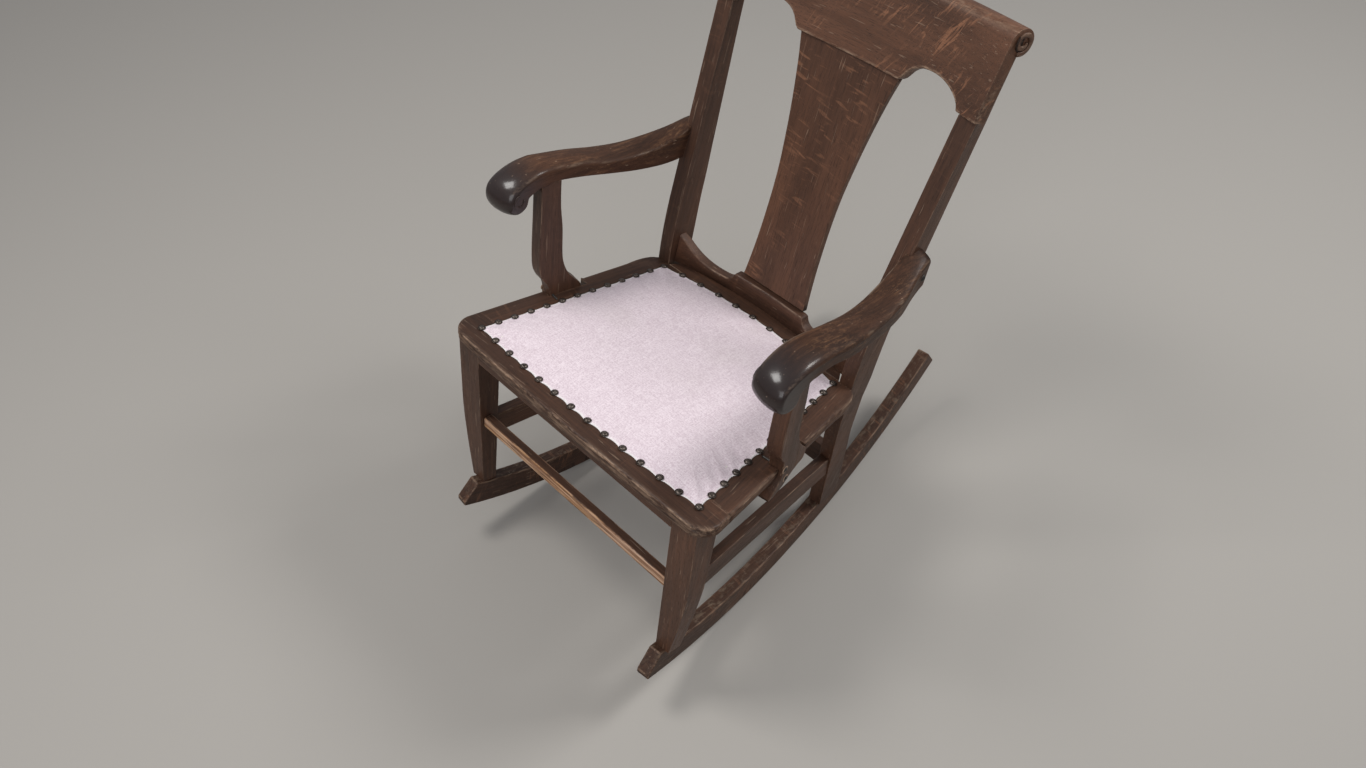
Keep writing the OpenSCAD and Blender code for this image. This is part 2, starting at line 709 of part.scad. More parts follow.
arm_faces = concat(
    [for (c = [0 : arm_cols - 2]) for (i = [0 : arm_loop - 1]) [arm_i(c, i), arm_i(c, i + 1), arm_i(c + 1, i + 1)]],
    [for (c = [0 : arm_cols - 2]) for (i = [0 : arm_loop - 1]) [arm_i(c, i), arm_i(c + 1, i + 1), arm_i(c + 1, i)]],
    [for (i = [0 : arm_rows - 2]) [i, 2 * arm_rows - 1 - i, i + 1]],
    [for (i = [0 : arm_rows - 2]) [i + 1, 2 * arm_rows - 1 - i, 2 * arm_rows - 2 - i]],
    [[for (i = [arm_loop : -1 : 2 * arm_rows - 1]) i % arm_loop]],
    [for (i = [0 : arm_rows - 2]) [arm_i(arm_cols - 1, i), arm_i(arm_cols - 1, i + 1), arm_i(arm_cols - 1, 2 * arm_rows - 1 - i)]],
    [for (i = [0 : arm_rows - 2]) [arm_i(arm_cols - 1, i + 1), arm_i(arm_cols - 1, 2 * arm_rows - 2 - i),
        arm_i(arm_cols - 1, 2 * arm_rows - 1 - i)]],
    [[for (i = [2 * arm_rows - 1 : arm_loop]) arm_i(arm_cols - 1, i)]]);
module arm() {
    color(oak_dark)
        difference() {
            polyhedron(points = [for (u = arm_across_shares) each arm_section(u)], faces = arm_faces);
            post_blank();
        }
}

// Arm support: an S shaped board let into the side of the seat
support_shares_front = [[0, 1], [0, 0.4], [0.02, 0.24], [0.12, 0.16], [0.24, 0.1], [0.28, 0.02],
    [0.26, -0.06], [0.13, -0.14], [-0.04, -0.2]];
support_shares_back = [[0.14, -0.205], [0.58, -0.14], [0.68, -0.09], [0.92, -0.08], [1, -0.03],
    [0.98, 0.03], [0.84, 0.09], [0.65, 0.18], [0.51, 0.34], [0.5, 0.62], [0.42, 1]];
support_d = 81;
support_top = arm_under_z + arm_under_rise;
support_into = 12;
module arm_support() {
    color(oak)
        difference() {
            side_frame()
                side_slab(-side_rail_in, support_t)
                    polygon([for (s = concat(support_shares_front, support_shares_back))
                        [support_y + support_d * s[0], support_top * s[1] + (s[1] == 1 ? support_into : 0)]]);
            arm();
            seat_board_side();
        }
}

// Round head screw that ties each arm to its post
arm_screw_d = 4;
arm_screw_head = 11;
arm_screw_l = 38;
arm_screw_in = 11;
arm_screw_x = arm_in_x - arm_in_set + arm_end_w;
module arm_screws() {
    color(iron)
        both()
            translate([arm_screw_x, arm_end_y - arm_screw_in, arm_low_h])
                rotate([0, -90, 0])
                    screw(arm_screw_d, arm_screw_head, arm_screw_d, arm_screw_l);
}

support_screw_shares = [[0.33, 0.005], [0.43, -0.105]];
support_screw_head = 9;
support_screw_h = 1.5;
support_screw_l = 38;
module support_screws() {
    color(iron)
        both()
            side_frame()
                for (s = support_screw_shares)
                    translate([support_out, support_y + support_d * s[0], support_top * s[1]])
                        rotate([0, -90, 0])
                            screw(arm_screw_d, support_screw_head, support_screw_h, support_screw_l);
}

// Long screws up through the runners into the legs and posts
runner_screw_l = 62;
leg_screw_s = (leg_front_y(foot_z) + leg_foot_d / 2 + runner_nose) / runner_cos;
post_screw_s = (post_y(foot_z) + post_depth(foot_z) / 2 + runner_nose) / runner_cos;
sink = 6;
runner_screw_d = 5;
runner_screw_head = 9;
runner_screw_h = 2;
module runner_screws() {
    color(steel)
        both()
            runner_frame()
                for (s = [leg_screw_s, post_screw_s])
                    translate([-runner_t / 2, s, arc_s(arc_z, runner_r, s) + sink])
                        screw(runner_screw_d, runner_screw_head, runner_screw_h, runner_screw_l);
}

// Screws through the posts from behind into the crest
crest_screw_shares = [0.25, 0.55];
crest_screw_head = 8;
crest_screw_h = 1;
crest_screw_l = 16;
module crest_screws() {
    color(iron)
        both()
            for (h = crest_screw_shares)
                let (z = crest_z + crest_h * h)
                    translate([post_x(z) - post_width(z) / 2, post_y(z) + post_depth(z), z])
                        rotate([90 - post_rake, 0, 0])
                            screw(arm_screw_d, crest_screw_head, crest_screw_h, crest_screw_l);
}

// Woven webbing strips across the opening, one layer over the other
web_w_share = 0.136;
web_gap_share = 0.0623;
web_w = seat_d * web_w_share;
web_t = 1;
web_gap = seat_d * web_gap_share;
web_lap = 10;
web_y0 = front_board_in + web_gap / 2;
web_n = 4;
function web_half_x(y) = side_x(y) - side_board_w + web_lap;
function web_x(i) = (i - (web_n - 1) / 2) * (web_w + web_gap);
function web_row_y(i) = web_y0 + i * (web_w + web_gap);
module seat_webbing() {
    color(jute) {
        for (i = [0 : web_n - 1])
            translate([web_x(i) - web_w / 2, front_board_in - web_lap, 0])
                cube([web_w, back_board_y - front_board_in + 2 * web_lap, web_t]);
        for (i = [0 : web_n - 1])
            let (y0 = web_row_y(i), y1 = web_row_y(i) + web_w)
                translate([0, 0, web_t])
                    linear_extrude(web_t)
                        polygon([[-web_half_x(y0), y0], [web_half_x(y0), y0],
                            [web_half_x(y1), y1], [-web_half_x(y1), y1]]);
    }
}

// Sheets under the cover follow the nail line at a named inset
pad_middle = [0, nail_d / 2];
function inset(p, d) = p + (pad_middle - p) * d / norm(pad_middle - p);
burlap_t = 0.8;
pocket_in = 12;
stuff_z = 2 * web_t + burlap_t;
stuff_t = 5;
// Cover: crowned cloth, drawn in between the nails, hollow for the stuffing
cover_edge = 3;
cover_t = 1.2;
cover_turns = 3;
cover_ring_shares = [[0, 0], [0.04, 0.26], [0.14, 0.56], [0.36, 0.86], [0.7, 0.985]];
cover_n = len(nails) * cover_turns;
pocket_z = stuff_z + stuff_t;
function on_edge(i) = let (k = floor(i / cover_turns), f = i / cover_turns - k,
    a = nails[k], b = nails[(k + 1) % len(nails)]) a + (b - a) * f;
function dip(i) = let (f = i / cover_turns - floor(i / cover_turns)) 4 * f * (1 - f);
function cover_point(i, ring) = let (edge = inset(on_edge(i), scallop * dip(i) * (1 - ring[0]) - cover_edge),
    p = edge + (pad_middle - edge) * ring[0])
    [p[0], p[1], cover_t + (crown_h - cover_t) * ring[1]];
function flat_point(i, d, z) = let (p = inset(on_edge(i), d)) [p[0], p[1], z];
pocket_line = [for (i = [0 : cover_n - 1]) inset(on_edge(i), pocket_in)];
module seat_burlap() {
    color(jute)
        translate([0, 0, 2 * web_t])
            linear_extrude(burlap_t)
                polygon(pocket_line);
}

module seat_stuffing() {
    color(cotton)
        translate([0, 0, stuff_z])
            linear_extrude(stuff_t)
                polygon(pocket_line);
}

cover_points = concat(
    [[pad_middle[0], pad_middle[1], pocket_z]],
    [for (i = [0 : cover_n - 1]) flat_point(i, pocket_in, pocket_z)],
    [for (i = [0 : cover_n - 1]) flat_point(i, pocket_in, 0)],
    [for (i = [0 : cover_n - 1]) let (p = cover_point(i, cover_ring_shares[0])) [p[0], p[1], 0]],
    [for (r = cover_ring_shares) for (i = [0 : cover_n - 1]) cover_point(i, r)],
    [[pad_middle[0], pad_middle[1], crown_h]]);
cover_bands = len(cover_ring_shares) + 3;
cover_last = len(cover_points) - 1;
function ring_i(r, i) = 1 + r * cover_n + i % cover_n;
cover_faces = concat(
    [for (i = [0 : cover_n - 1]) [0, ring_i(0, i + 1), ring_i(0, i)]],
    [for (r = [0 : cover_bands - 2]) for (i = [0 : cover_n - 1]) [ring_i(r, i), ring_i(r, i + 1), ring_i(r + 1, i + 1)]],
    [for (r = [0 : cover_bands - 2]) for (i = [0 : cover_n - 1]) [ring_i(r, i), ring_i(r + 1, i + 1), ring_i(r + 1, i)]],
    [for (i = [0 : cover_n - 1]) [cover_last, ring_i(cover_bands - 1, i), ring_i(cover_bands - 1, i + 1)]]);
module seat_cover() {
    color(cloth)
        polyhedron(points = cover_points, faces = cover_faces);
}

nail_dome_h = 3.2;
nail_shank_d = 2;
nail_shank_l = 9;
module cover_nails() {
    color(bronze)
        for (p = nails)
            translate([p[0], p[1], cover_t])
                nail();
}

nail_dome_shares = [[1, 0], [0.87, 0.5], [0.5, 0.87], [0.17, 1]];
module nail() {
    turned(concat([[nail_shank_d / 2, -nail_shank_l], [nail_shank_d / 2, 0]],
        [for (s = nail_dome_shares) [nail_head_d / 2 * s[0], nail_dome_h * s[1]]]));
}

stand() mirror([1, 0, 0]) runner();  // runner_left
stand() runner();  // runner_right
stand() mirror([1, 0, 0]) front_leg();  // front_leg_left
stand() front_leg();  // front_leg_right
stand() mirror([1, 0, 0]) back_post();  // back_post_left
stand() back_post();  // back_post_right
stand() front_stretcher();
stand() back_stretcher();
stand() mirror([1, 0, 0]) side_stretcher();  // side_stretcher_left
stand() side_stretcher();  // side_stretcher_right
stand() seat_board_front();
stand() mirror([1, 0, 0]) seat_board_side();  // seat_board_left
stand() seat_board_side();  // seat_board_right
stand() seat_board_back();
stand() front_apron();
stand() mirror([1, 0, 0]) side_rail();  // side_rail_left
stand() side_rail();  // side_rail_right
stand() corner_blocks();
stand() corner_block_screws();
stand() lower_back_rail();
stand() splat();
stand() crest_panel();
stand() mirror([1, 0, 0]) arm();  // arm_left
stand() arm();  // arm_right
stand() mirror([1, 0, 0]) arm_support();  // arm_support_left
stand() arm_support();  // arm_support_right
stand() arm_screws();
stand() support_screws();
stand() runner_screws();
stand() crest_screws();
stand() seat_webbing();
stand() seat_burlap();
stand() seat_stuffing();
stand() seat_cover();
stand() cover_nails();
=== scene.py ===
import math

import bmesh
import bpy
from bpy.props import FloatProperty, FloatVectorProperty, PointerProperty
from mathutils import Matrix, Vector, kdtree, noise
from mathutils.bvhtree import BVHTree


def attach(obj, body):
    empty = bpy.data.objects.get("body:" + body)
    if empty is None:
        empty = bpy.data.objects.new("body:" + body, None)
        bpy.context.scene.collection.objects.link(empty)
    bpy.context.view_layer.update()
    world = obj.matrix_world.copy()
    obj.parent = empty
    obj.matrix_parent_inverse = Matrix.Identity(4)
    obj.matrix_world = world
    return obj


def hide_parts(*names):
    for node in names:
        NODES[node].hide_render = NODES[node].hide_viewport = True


bl_info = {
    "name": "Oak Rocking Chair",
    "version": (1, 0, 0),
    "blender": (4, 5, 0),
    "location": "View3D > Sidebar > Rocker",
    "description": "Builds the looks of an armed oak rocking chair round its packed frame",
    "category": "Add Mesh",
}

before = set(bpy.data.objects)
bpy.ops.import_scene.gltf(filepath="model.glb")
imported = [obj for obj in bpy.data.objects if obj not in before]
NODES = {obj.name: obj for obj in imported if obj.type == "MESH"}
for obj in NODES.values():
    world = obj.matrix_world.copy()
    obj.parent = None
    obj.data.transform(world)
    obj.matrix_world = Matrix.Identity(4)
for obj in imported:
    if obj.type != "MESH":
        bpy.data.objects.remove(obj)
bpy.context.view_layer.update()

# The seat's own frame, in millimetres: x across, y from the front nails to the back, z square to the seat
SLOPE = math.radians(11.4)
MIDDLE_Y = 279.217
LIFT = 420.709
SEAT = (Matrix.Translation((0, -MIDDLE_Y / 1000, LIFT / 1000)) @ Matrix.Rotation(-SLOPE, 4, "X")
        @ Matrix.Scale(0.001, 4))
SEAT_BACK = SEAT.inverted()

# Sizes of the seat, its boards and its corners, of the posts, the crest and the row of nails
SEAT_W, SEAT_D, FRONT_MARGIN, FRONT_BOW = 543.0, 353.0, 31.5, 5.0
CORNER_R, FRONT_IN, SIDE_BOARD_W = 33.0, 24.0, 68.0
SIDE_ANGLE = math.radians(7.97)
SIDE_TAN = math.tan(SIDE_ANGLE)
BACK_R = 849.64
BOARD_BACK_Y = 388.0
POST_X, RAKE = 211.0, math.radians(12.55)
CORNER_CX, CORNER_CY = SEAT_W / 2 - CORNER_R, CORNER_R - FRONT_MARGIN
RUNNER_CENTRE, RUNNER_R = (175.0, 457.0), 835
SIDES = (("right", False), ("left", True))
WIDE, DEEP, UP = (1, 0, 0), (0, 1, 0), (0, 0, 1)
CREST_Y, CREST_Z, CREST_H, CREST_T, ROLL_D = 456.898, 427.0, 129.0, 19.0, 37.0
CREST_HALF, CREST_SPREAD = 232.0, 6.0
NAIL_W, NAIL_BACK_W, NAIL_D = 232.0, 184.4, 340.0


def size_setting(name, note, value, low, high):
    return FloatProperty(name=name, description=note, default=value, min=low, max=high, unit="LENGTH",
                         subtype="DISTANCE")


def colour_setting(name, note, *value):
    return FloatVectorProperty(name=name, description=note, default=value, size=3, min=0, max=1,
                               subtype="COLOR")


class ChairSizes(bpy.types.PropertyGroup):
    """Sizes that only the looks use"""
    arris: size_setting("Arris", "How far the joinery's sharp edges are rubbed round", 0.0016, 0.0003, 0.004)
    worn_arris: size_setting("Worn arris", "Rounding of the edges that hands and feet rub", 0.0028, 0.0005, 0.006)
    crown: size_setting("Pad crown", "Height of the pad's crown before it is stuffed", 0.0135, 0.008, 0.02)
    pucker: size_setting("Pucker", "How deep the nails pull into the pad", 0.0016, 0.0, 0.004)


class ChairColours(bpy.types.PropertyGroup):
    """Colours of the finishes"""
    oak: colour_setting("Stained oak", "Middle tone of the dark stain", 0.088, 0.040, 0.023)
    oak_deep: colour_setting("Deep stain", "Where the stain lies darkest", 0.034, 0.017, 0.011)
    fleck: colour_setting("Ray fleck", "Amber of the quarter-sawn figure", 0.20, 0.092, 0.050)
    bare: colour_setting("Bare oak", "Wood where the finish has rubbed off", 0.38, 0.265, 0.185)
    cloth: colour_setting("Cover cloth", "Pale pinkish cloth of the pad", 0.755, 0.66, 0.70)
    bronze: colour_setting("Nail bronze", "Antique bronze of the nails", 0.062, 0.046, 0.037)
    floor: colour_setting("Floor", "Plain pale floor", 0.405, 0.382, 0.353)


# Materials
class Wire:
    """A shader socket that arithmetic can be written on"""

    def __init__(self, paint, socket):
        self.paint, self.socket = paint, socket

    def maths(self, operation, *others):
        values = {0: self}
        values.update({i + 1: v for i, v in enumerate(others)})
        return self.paint.add("ShaderNodeMath", {"operation": operation}, values)

    def __add__(self, other):
        return self.maths("ADD", other)

    __radd__ = __add__

    def __sub__(self, other):
        return self.maths("SUBTRACT", other)

    def __rsub__(self, other):
        return self.maths("MULTIPLY", -1.0).maths("ADD", other)

    def __mul__(self, other):
        return self.maths("MULTIPLY", other)

    __rmul__ = __mul__

    def between(self, low, high):
        """0 below low and 1 above high, eased in between"""
        return self.paint.add("ShaderNodeMapRange", {"interpolation_type": "SMOOTHSTEP"},
                              {"Value": self, "From Min": low, "From Max": high})

    def limit(self):
        return self.maths("MINIMUM", 1.0).maths("MAXIMUM", 0.0)


class Paint:
    """A material, and the one way that nodes are added to it"""

    def __init__(self, name, **constants):
        self.material = bpy.data.materials.new(name)
        self.material.use_nodes = True
        self.tree = self.material.node_tree
        self.shader = self.tree.nodes["Principled BSDF"]
        for socket, value in constants.items():
            self.shader.inputs[socket.replace("_", " ")].default_value = value

    def add(self, kind, settings=None, values=None, out=0):
        """Adds a node with the given settings, and inputs that are wires or values"""
        node = self.tree.nodes.new(kind)
        for key, value in (settings or {}).items():
            setattr(node, key, value)
        for key, value in (values or {}).items():
            if isinstance(value, Wire):
                self.tree.links.new(value.socket, node.inputs[key])
            else:
                node.inputs[key].default_value = value
        return Wire(self, node.outputs[out])

    def stored(self, name, out=2):
        """A value kept on the points of the mesh, or with out=1 a vector"""
        return self.add("ShaderNodeAttribute", {"attribute_name": name}, out=out)

    def vectors(self, operation, first, second, out=0):
        return self.add("ShaderNodeVectorMath", {"operation": operation}, {0: first, 1: second}, out)

    def grain(self, scale, shift=(0, 0, 0)):
        """The piece's own grain coordinates, along, across and through, times scale"""
        return self.vectors("ADD", self.vectors("MULTIPLY", self.stored("grain", 1), scale), shift)

    def slanted(self, scale, lean):
        """Grain coordinates whose streaks across the board lean along it"""
        place = self.stored("grain", 1)
        rows = ((scale[0], scale[0] * lean, 0), (0, scale[1], 0), (0, 0, scale[2]))
        parts = [self.vectors("DOT_PRODUCT", place, row, 1) for row in rows]
        return self.add("ShaderNodeCombineXYZ", {}, dict(enumerate(parts)))

    def cloudy(self, scale, shift=(0, 0, 0), detail=2.0, rough=0.5, bend=0.0, lean=None):
        spot = self.grain(scale, shift) if lean is None else self.slanted(scale, lean)
        return self.add("ShaderNodeTexNoise", {}, {"Vector": spot, "Scale": 1.0, "Detail": detail,
                                                   "Roughness": rough, "Distortion": bend})

    def blend(self, share, first, second):
        """Mixes two colours, each a wire or three numbers"""
        spread = [v if isinstance(v, Wire) else (*v, 1) for v in (first, second)]
        return self.add("ShaderNodeMix", {"data_type": "RGBA"}, {0: share, 6: spread[0], 7: spread[1]}, out=2)

    def arris(self, radius):
        """1 on an edge and 0 away from it"""
        rounded = self.add("ShaderNodeBevel", {"samples": 4}, {"Radius": radius})
        plain = self.add("ShaderNodeNewGeometry", out=1)
        return (1 - self.vectors("DOT_PRODUCT", rounded, plain, 1)).between(0.012, 0.16)

    def feed(self, socket, wire):
        self.tree.links.new(wire.socket, self.shader.inputs[socket])

    def relief(self, height, strength, distance):
        self.feed("Normal", self.add("ShaderNodeBump", {}, {"Strength": strength, "Distance": distance,
                                                            "Height": height}))

    def weave(self, turn):
        """Height of a plain weave, turn radians of it to the metre"""
        parts = [self.add("ShaderNodeSeparateXYZ", {}, {0: self.stored("grain", 1)}, out=i) for i in (0, 1)]
        warp, weft = ((part * turn).maths("SINE") * 0.5 + 0.5 for part in parts)
        return warp * weft + (1 - warp) * (1 - weft)

    def pores(self):
        return self.cloudy((60, 1500, 1500), (1, 7, 3), detail=1.0).between(0.58, 0.68)


def oak_finish(name, tones, figure=0.0, long_rays=False, wear=0.5, raw=0.0, gloss=0.42, dust=0.0, warmth=1.0,
               streaky=1.0):
    """Stained oak. figure: how strong the rays show. wear: its rubbed edges. raw: bare wood on its faces.
    gloss: its roughness. dust: on faces that look up. warmth: how light the stain is. streaky: its lines"""
    p = Paint(name, Specular_IOR_Level=0.26, Coat_Roughness=0.22, Coat_Weight=0.07)
    oak = [v * warmth for v in tones.oak]
    deep = [v * (0.5 + warmth / 2) for v in tones.oak_deep]
    flecks = [v * (0.35 + warmth * 0.65) for v in tones.fleck]
    warm = [min(1.0, a * 1.55) for a in oak]
    boards = p.cloudy((2.2, 14, 14), detail=3.0)
    lines = p.cloudy((6, 230, 230), (3, 1, 5), detail=3.0, rough=0.6)
    fibres = p.cloudy((28, 900, 900), (9, 4, 2), detail=2.0, rough=0.6)
    pores = p.pores()
    tone = boards.between(0.30, 0.70) * 0.6 + lines.between(0.32, 0.68) * (0.45 * streaky)
    colour = p.blend((tone + 0.2 * (1 - streaky)).limit(), deep, oak)
    glow = lines.between(0.50, 0.75) * boards.between(0.42, 0.75) * (0.65 * streaky)
    colour = p.blend(glow.limit(), colour, warm)
    if figure > 0:
        if long_rays:
            rays = p.cloudy((95, 17, 17), detail=2.0, rough=0.6, bend=1.6, lean=-0.5).between(0.55, 0.68)
            fine = p.cloudy((260, 60, 60), detail=1.0, bend=0.9, lean=-0.3).between(0.62, 0.72)
        else:
            rays = p.cloudy((150, 24, 24), detail=1.0, bend=0.6, lean=0.10).between(0.60, 0.70)
            fine = p.cloudy((300, 55, 55), detail=1.0, bend=0.6, lean=-0.1).between(0.64, 0.74)
        beds = p.cloudy((8, 13, 13), (4, 4, 4), detail=2.0).between(0.40, 0.60)
        colour = p.blend(((rays * 0.8 + fine * 0.35) * beds * figure).limit(), colour, flecks)
    colour = p.blend(pores * 0.55, colour, [v * 0.4 for v in tones.oak_deep])
    patches = p.cloudy((20, 120, 120), (8, 2, 6), detail=4.0, rough=0.65)
    nicks = p.cloudy((60, 160, 160), (6, 6, 1), detail=3.0, rough=0.7)
    worn = p.stored("worn")
    spread = patches.between(0.42, 0.60) * 0.7 + nicks.between(0.48, 0.58) * 0.45
    bare = ((p.arris(0.003) * 0.5 + worn) * spread * wear).limit()
    rubbed = p.blend(fibres.between(0.35, 0.65) * 0.7 + lines.between(0.35, 0.65) * 0.3,
                     [tones.bare[0] * 0.45, tones.bare[1] * 0.36, tones.bare[2] * 0.33], tones.bare)
    if raw > 0:
        scuffed = p.stored("scuffed")
        stripes = p.cloudy((7, 170, 170), (7, 1, 8), detail=4.0, rough=0.7)
        streaks = p.cloudy((14, 420, 420), (2, 1, 5), detail=3.0, rough=0.65)
        pink = p.blend(streaks.between(0.36, 0.64), (0.26, 0.13, 0.075), (0.58, 0.39, 0.27))
        amber = p.blend(streaks.between(0.40, 0.66), (0.22, 0.10, 0.045), (0.54, 0.32, 0.17))
        rubbed = p.blend(stripes.between(0.42, 0.58), amber, pink)
        kept = (patches * 0.5 + stripes * 0.5).between(0.36, 0.50) * 0.8 + streaks.between(0.3, 0.6) * 0.2
        bare = (bare + kept * scuffed * raw).limit()
    colour = p.blend(bare, colour, rubbed)
    scratch = p.cloudy((24, 460, 460), (11, 3, 4), detail=0.0, bend=0.6).between(0.76, 0.79)
    colour = p.blend(scratch * 0.3, colour, tones.bare)
    if dust > 0:
        level = p.vectors("DOT_PRODUCT", p.add("ShaderNodeNewGeometry", out=1), (0, 0, 1), 1)
        specks = p.cloudy((60, 90, 90), (2, 2, 9), detail=4.0, rough=0.7)
        dusty = level.between(0.6, 0.97) * specks.between(0.48, 0.66) * dust
        colour = p.blend(dusty.limit(), colour, (0.27, 0.20, 0.14))
    p.feed("Base Color", colour)
    p.feed("Roughness", (gloss + patches.between(0.3, 0.7) * 0.12 + bare * 0.3 + pores * 0.1).limit())
    p.relief(fibres * 0.35 + lines * 0.4 - pores * 0.5 - scratch * 0.3, 0.35, 0.0006)
    return p.material


def hand_worn_oak(name, tones):
    """Arms: near black and polished by hands in front, brown with golden lines behind"""
    p = Paint(name, Specular_IOR_Level=0.15, Coat_Roughness=0.17)
    boards = p.cloudy((4, 18, 18), detail=3.0)
    lines = p.cloudy((9, 210, 210), (3, 1, 5), detail=3.0, rough=0.6)
    pores = p.pores()
    shade = p.stored("handled")
    tone = boards.between(0.3, 0.7) * 0.6 + lines.between(0.35, 0.7) * 0.5
    colour = p.blend(tone.limit(), tones.oak_deep, tones.oak)
    flaked = p.cloudy((150, 420, 420), (2, 5, 7), detail=2.0, rough=0.6).between(0.55, 0.62)
    areas = p.cloudy((12, 45, 45), (2, 5, 7), detail=3.0).between(0.42, 0.60)
    gold = (flaked * 0.3 + lines.between(0.52, 0.72) * 0.55) * areas
    colour = p.blend((gold * (1 - shade) * 0.7).limit(), colour, (0.23, 0.12, 0.06))
    colour = p.blend((shade * 0.9).limit(), colour, (0.017, 0.0105, 0.0105))
    colour = p.blend(pores * 0.5, colour, (0.008, 0.005, 0.004))
    patches = p.cloudy((14, 60, 60), (8, 2, 6), detail=4.0, rough=0.7)
    worn = p.stored("worn")
    rubbed = (p.arris(0.003) * 0.3 + worn) * patches.between(0.48, 0.62)
    colour = p.blend((rubbed * 0.8).limit(), colour, [v * 0.7 for v in tones.bare])
    nick = p.cloudy((90, 260, 260), (5, 9, 2), detail=2.0).between(0.70, 0.74)
    colour = p.blend(nick * 0.4, colour, tones.bare)
    p.feed("Base Color", colour)
    p.feed("Coat Weight", (shade * 0.62 + 0.05).limit())
    p.feed("Roughness", (0.50 - shade * 0.08 + patches.between(0.35, 0.7) * 0.12 + nick * 0.2).limit())
    p.relief(lines * 0.4 - pores * 0.5 - nick * 0.4, 0.22, 0.0005)
    return p.material


def cover_cloth(name, tones):
    """Pinkish off-white cloth with a fine heather and a plain weave"""
    p = Paint(name, Specular_IOR_Level=0.15, Sheen_Weight=0.25, Sheen_Roughness=0.5, Roughness=0.9)
    weave = p.weave(5200.0)
    heather = p.cloudy((420, 420, 420), detail=3.0, rough=0.7)
    slub = (p.cloudy((35, 900, 10), (4, 2, 1), detail=1.0) * 0.5
            + p.cloudy((900, 35, 10), (1, 6, 1), detail=1.0) * 0.5)
    soil = p.cloudy((9, 9, 9), (3, 3, 3), detail=4.0)
    light = [min(0.86, v * 1.09) for v in tones.cloth]
    shade = [tones.cloth[0] * 0.80, tones.cloth[1] * 0.74, tones.cloth[2] * 0.77]
    colour = p.blend((heather * 0.6 + slub * 0.4).between(0.36, 0.62), shade, light)
    colour = p.blend(soil.between(0.50, 0.75) * 0.2, colour, (0.56, 0.50, 0.48))
    mottle = p.cloudy((90, 90, 90), (7, 3, 1), detail=4.0, rough=0.65)
    colour = p.blend(mottle.between(0.48, 0.70) * 0.3, colour, shade)
    p.feed("Base Color", p.blend(p.stored("fray") * 0.9, colour, (0.88, 0.86, 0.84)))
    p.relief(weave * 0.5 + heather * 0.7, 0.4, 0.0004)
    return p.material


def jute(name, colour, pitch):
    """Coarse plain weave in jute, two threads to a pitch in metres"""
    p = Paint(name, Specular_IOR_Level=0.1, Sheen_Weight=0.2, Roughness=0.9)
    weave = p.weave(2 * math.pi / pitch)
    hair = p.cloudy((300, 300, 300), detail=4.0, rough=0.7)
    tone = p.blend((weave * 0.5 + hair * 0.6).between(0.3, 0.8), [v * 0.45 for v in colour], colour)
    p.feed("Base Color", tone)
    p.relief(weave + hair * 0.4, 0.6, 0.0006)
    return p.material


def felt(name):
    """Tufted cotton"""
    p = Paint(name, Specular_IOR_Level=0.1, Sheen_Weight=0.3, Roughness=0.95)
    tufts = p.cloudy((260, 260, 260), detail=5.0, rough=0.7)
    p.feed("Base Color", p.blend(tufts.between(0.3, 0.7), (0.62, 0.58, 0.50), (0.84, 0.81, 0.74)))
    p.relief(tufts, 0.6, 0.001)
    return p.material


def dark_metal(name, colour, shine, bright, rough):
    """Metal with a dark patina in its hollows and bright rubbed tops"""
    p = Paint(name, Metallic=0.85, Specular_IOR_Level=0.5)
    spot = p.add("ShaderNodeTexCoord", out=3)
    tarnish = p.add("ShaderNodeTexNoise", {}, {"Vector": spot, "Scale": 330.0, "Detail": 4.0,
                                               "Roughness": 0.65})
    rub = p.stored("rub")
    tone = p.blend(tarnish.between(0.35, 0.7), [v * 0.3 for v in colour], colour)
    tone = p.blend((rub * bright * tarnish.between(0.25, 0.6)).limit(), tone, shine)
    p.feed("Base Color", tone)
    p.feed("Roughness", (rough + tarnish.between(0.4, 0.7) * 0.2 - rub * 0.12).limit())
    p.relief(tarnish, 0.2, 0.0003)
    return p.material


# Curves and meshes
def smooth_line(points, steps):
    """A smooth line through the given points, open at its ends"""
    dims = range(len(points[0]))
    ends = [tuple(2 * points[0][d] - points[1][d] for d in dims), *points,
            tuple(2 * points[-1][d] - points[-2][d] for d in dims)]
    line = []
    for i in range(1, len(ends) - 2):
        for t in (k / steps for k in range(steps)):
            line.append(tuple(0.5 * (2 * b + (c - a) * t + (2 * a - 5 * b + 4 * c - d) * t * t
                                     + (3 * b - a - 3 * c + d) * t ** 3)
                              for a, b, c, d in zip(*ends[i - 1:i + 3])))
    return line + [tuple(points[-1])]


def along_table(table, where):
    """A value between the rows of a table of (place, value), eased smoothly"""
    if where <= table[0][0]:
        return table[0][1]
    for i in range(len(table) - 1):
        (x0, v0), (x1, v1) = table[i], table[i + 1]
        if where <= x1:
            before = table[i - 1] if i else (2 * x0 - x1, 2 * v0 - v1)
            after = table[i + 2] if i + 2 < len(table) else (2 * x1 - x0, 2 * v1 - v0)
            t, h = (where - x0) / (x1 - x0), x1 - x0
            m0 = (v1 - before[1]) / (x1 - before[0])
            m1 = (after[1] - v0) / (after[0] - x0)
            return ((2 * t ** 3 - 3 * t * t + 1) * v0 + (t ** 3 - 2 * t * t + t) * h * m0
                    + (3 * t * t - 2 * t ** 3) * v1 + (t ** 3 - t * t) * h * m1)
    return table[-1][1]


def new_piece(name, bm, material, nodes=(), mirror=False):
    """Makes the piece of a mesh that is drawn in the seat's frame"""
    if mirror:
        bmesh.ops.transform(bm, matrix=Matrix.Scale(-1, 4, (1, 0, 0)), verts=bm.verts)
        bmesh.ops.reverse_faces(bm, faces=bm.faces)
    bmesh.ops.transform(bm, matrix=SEAT, verts=bm.verts)
    return finish_piece(name, bm, material, nodes)


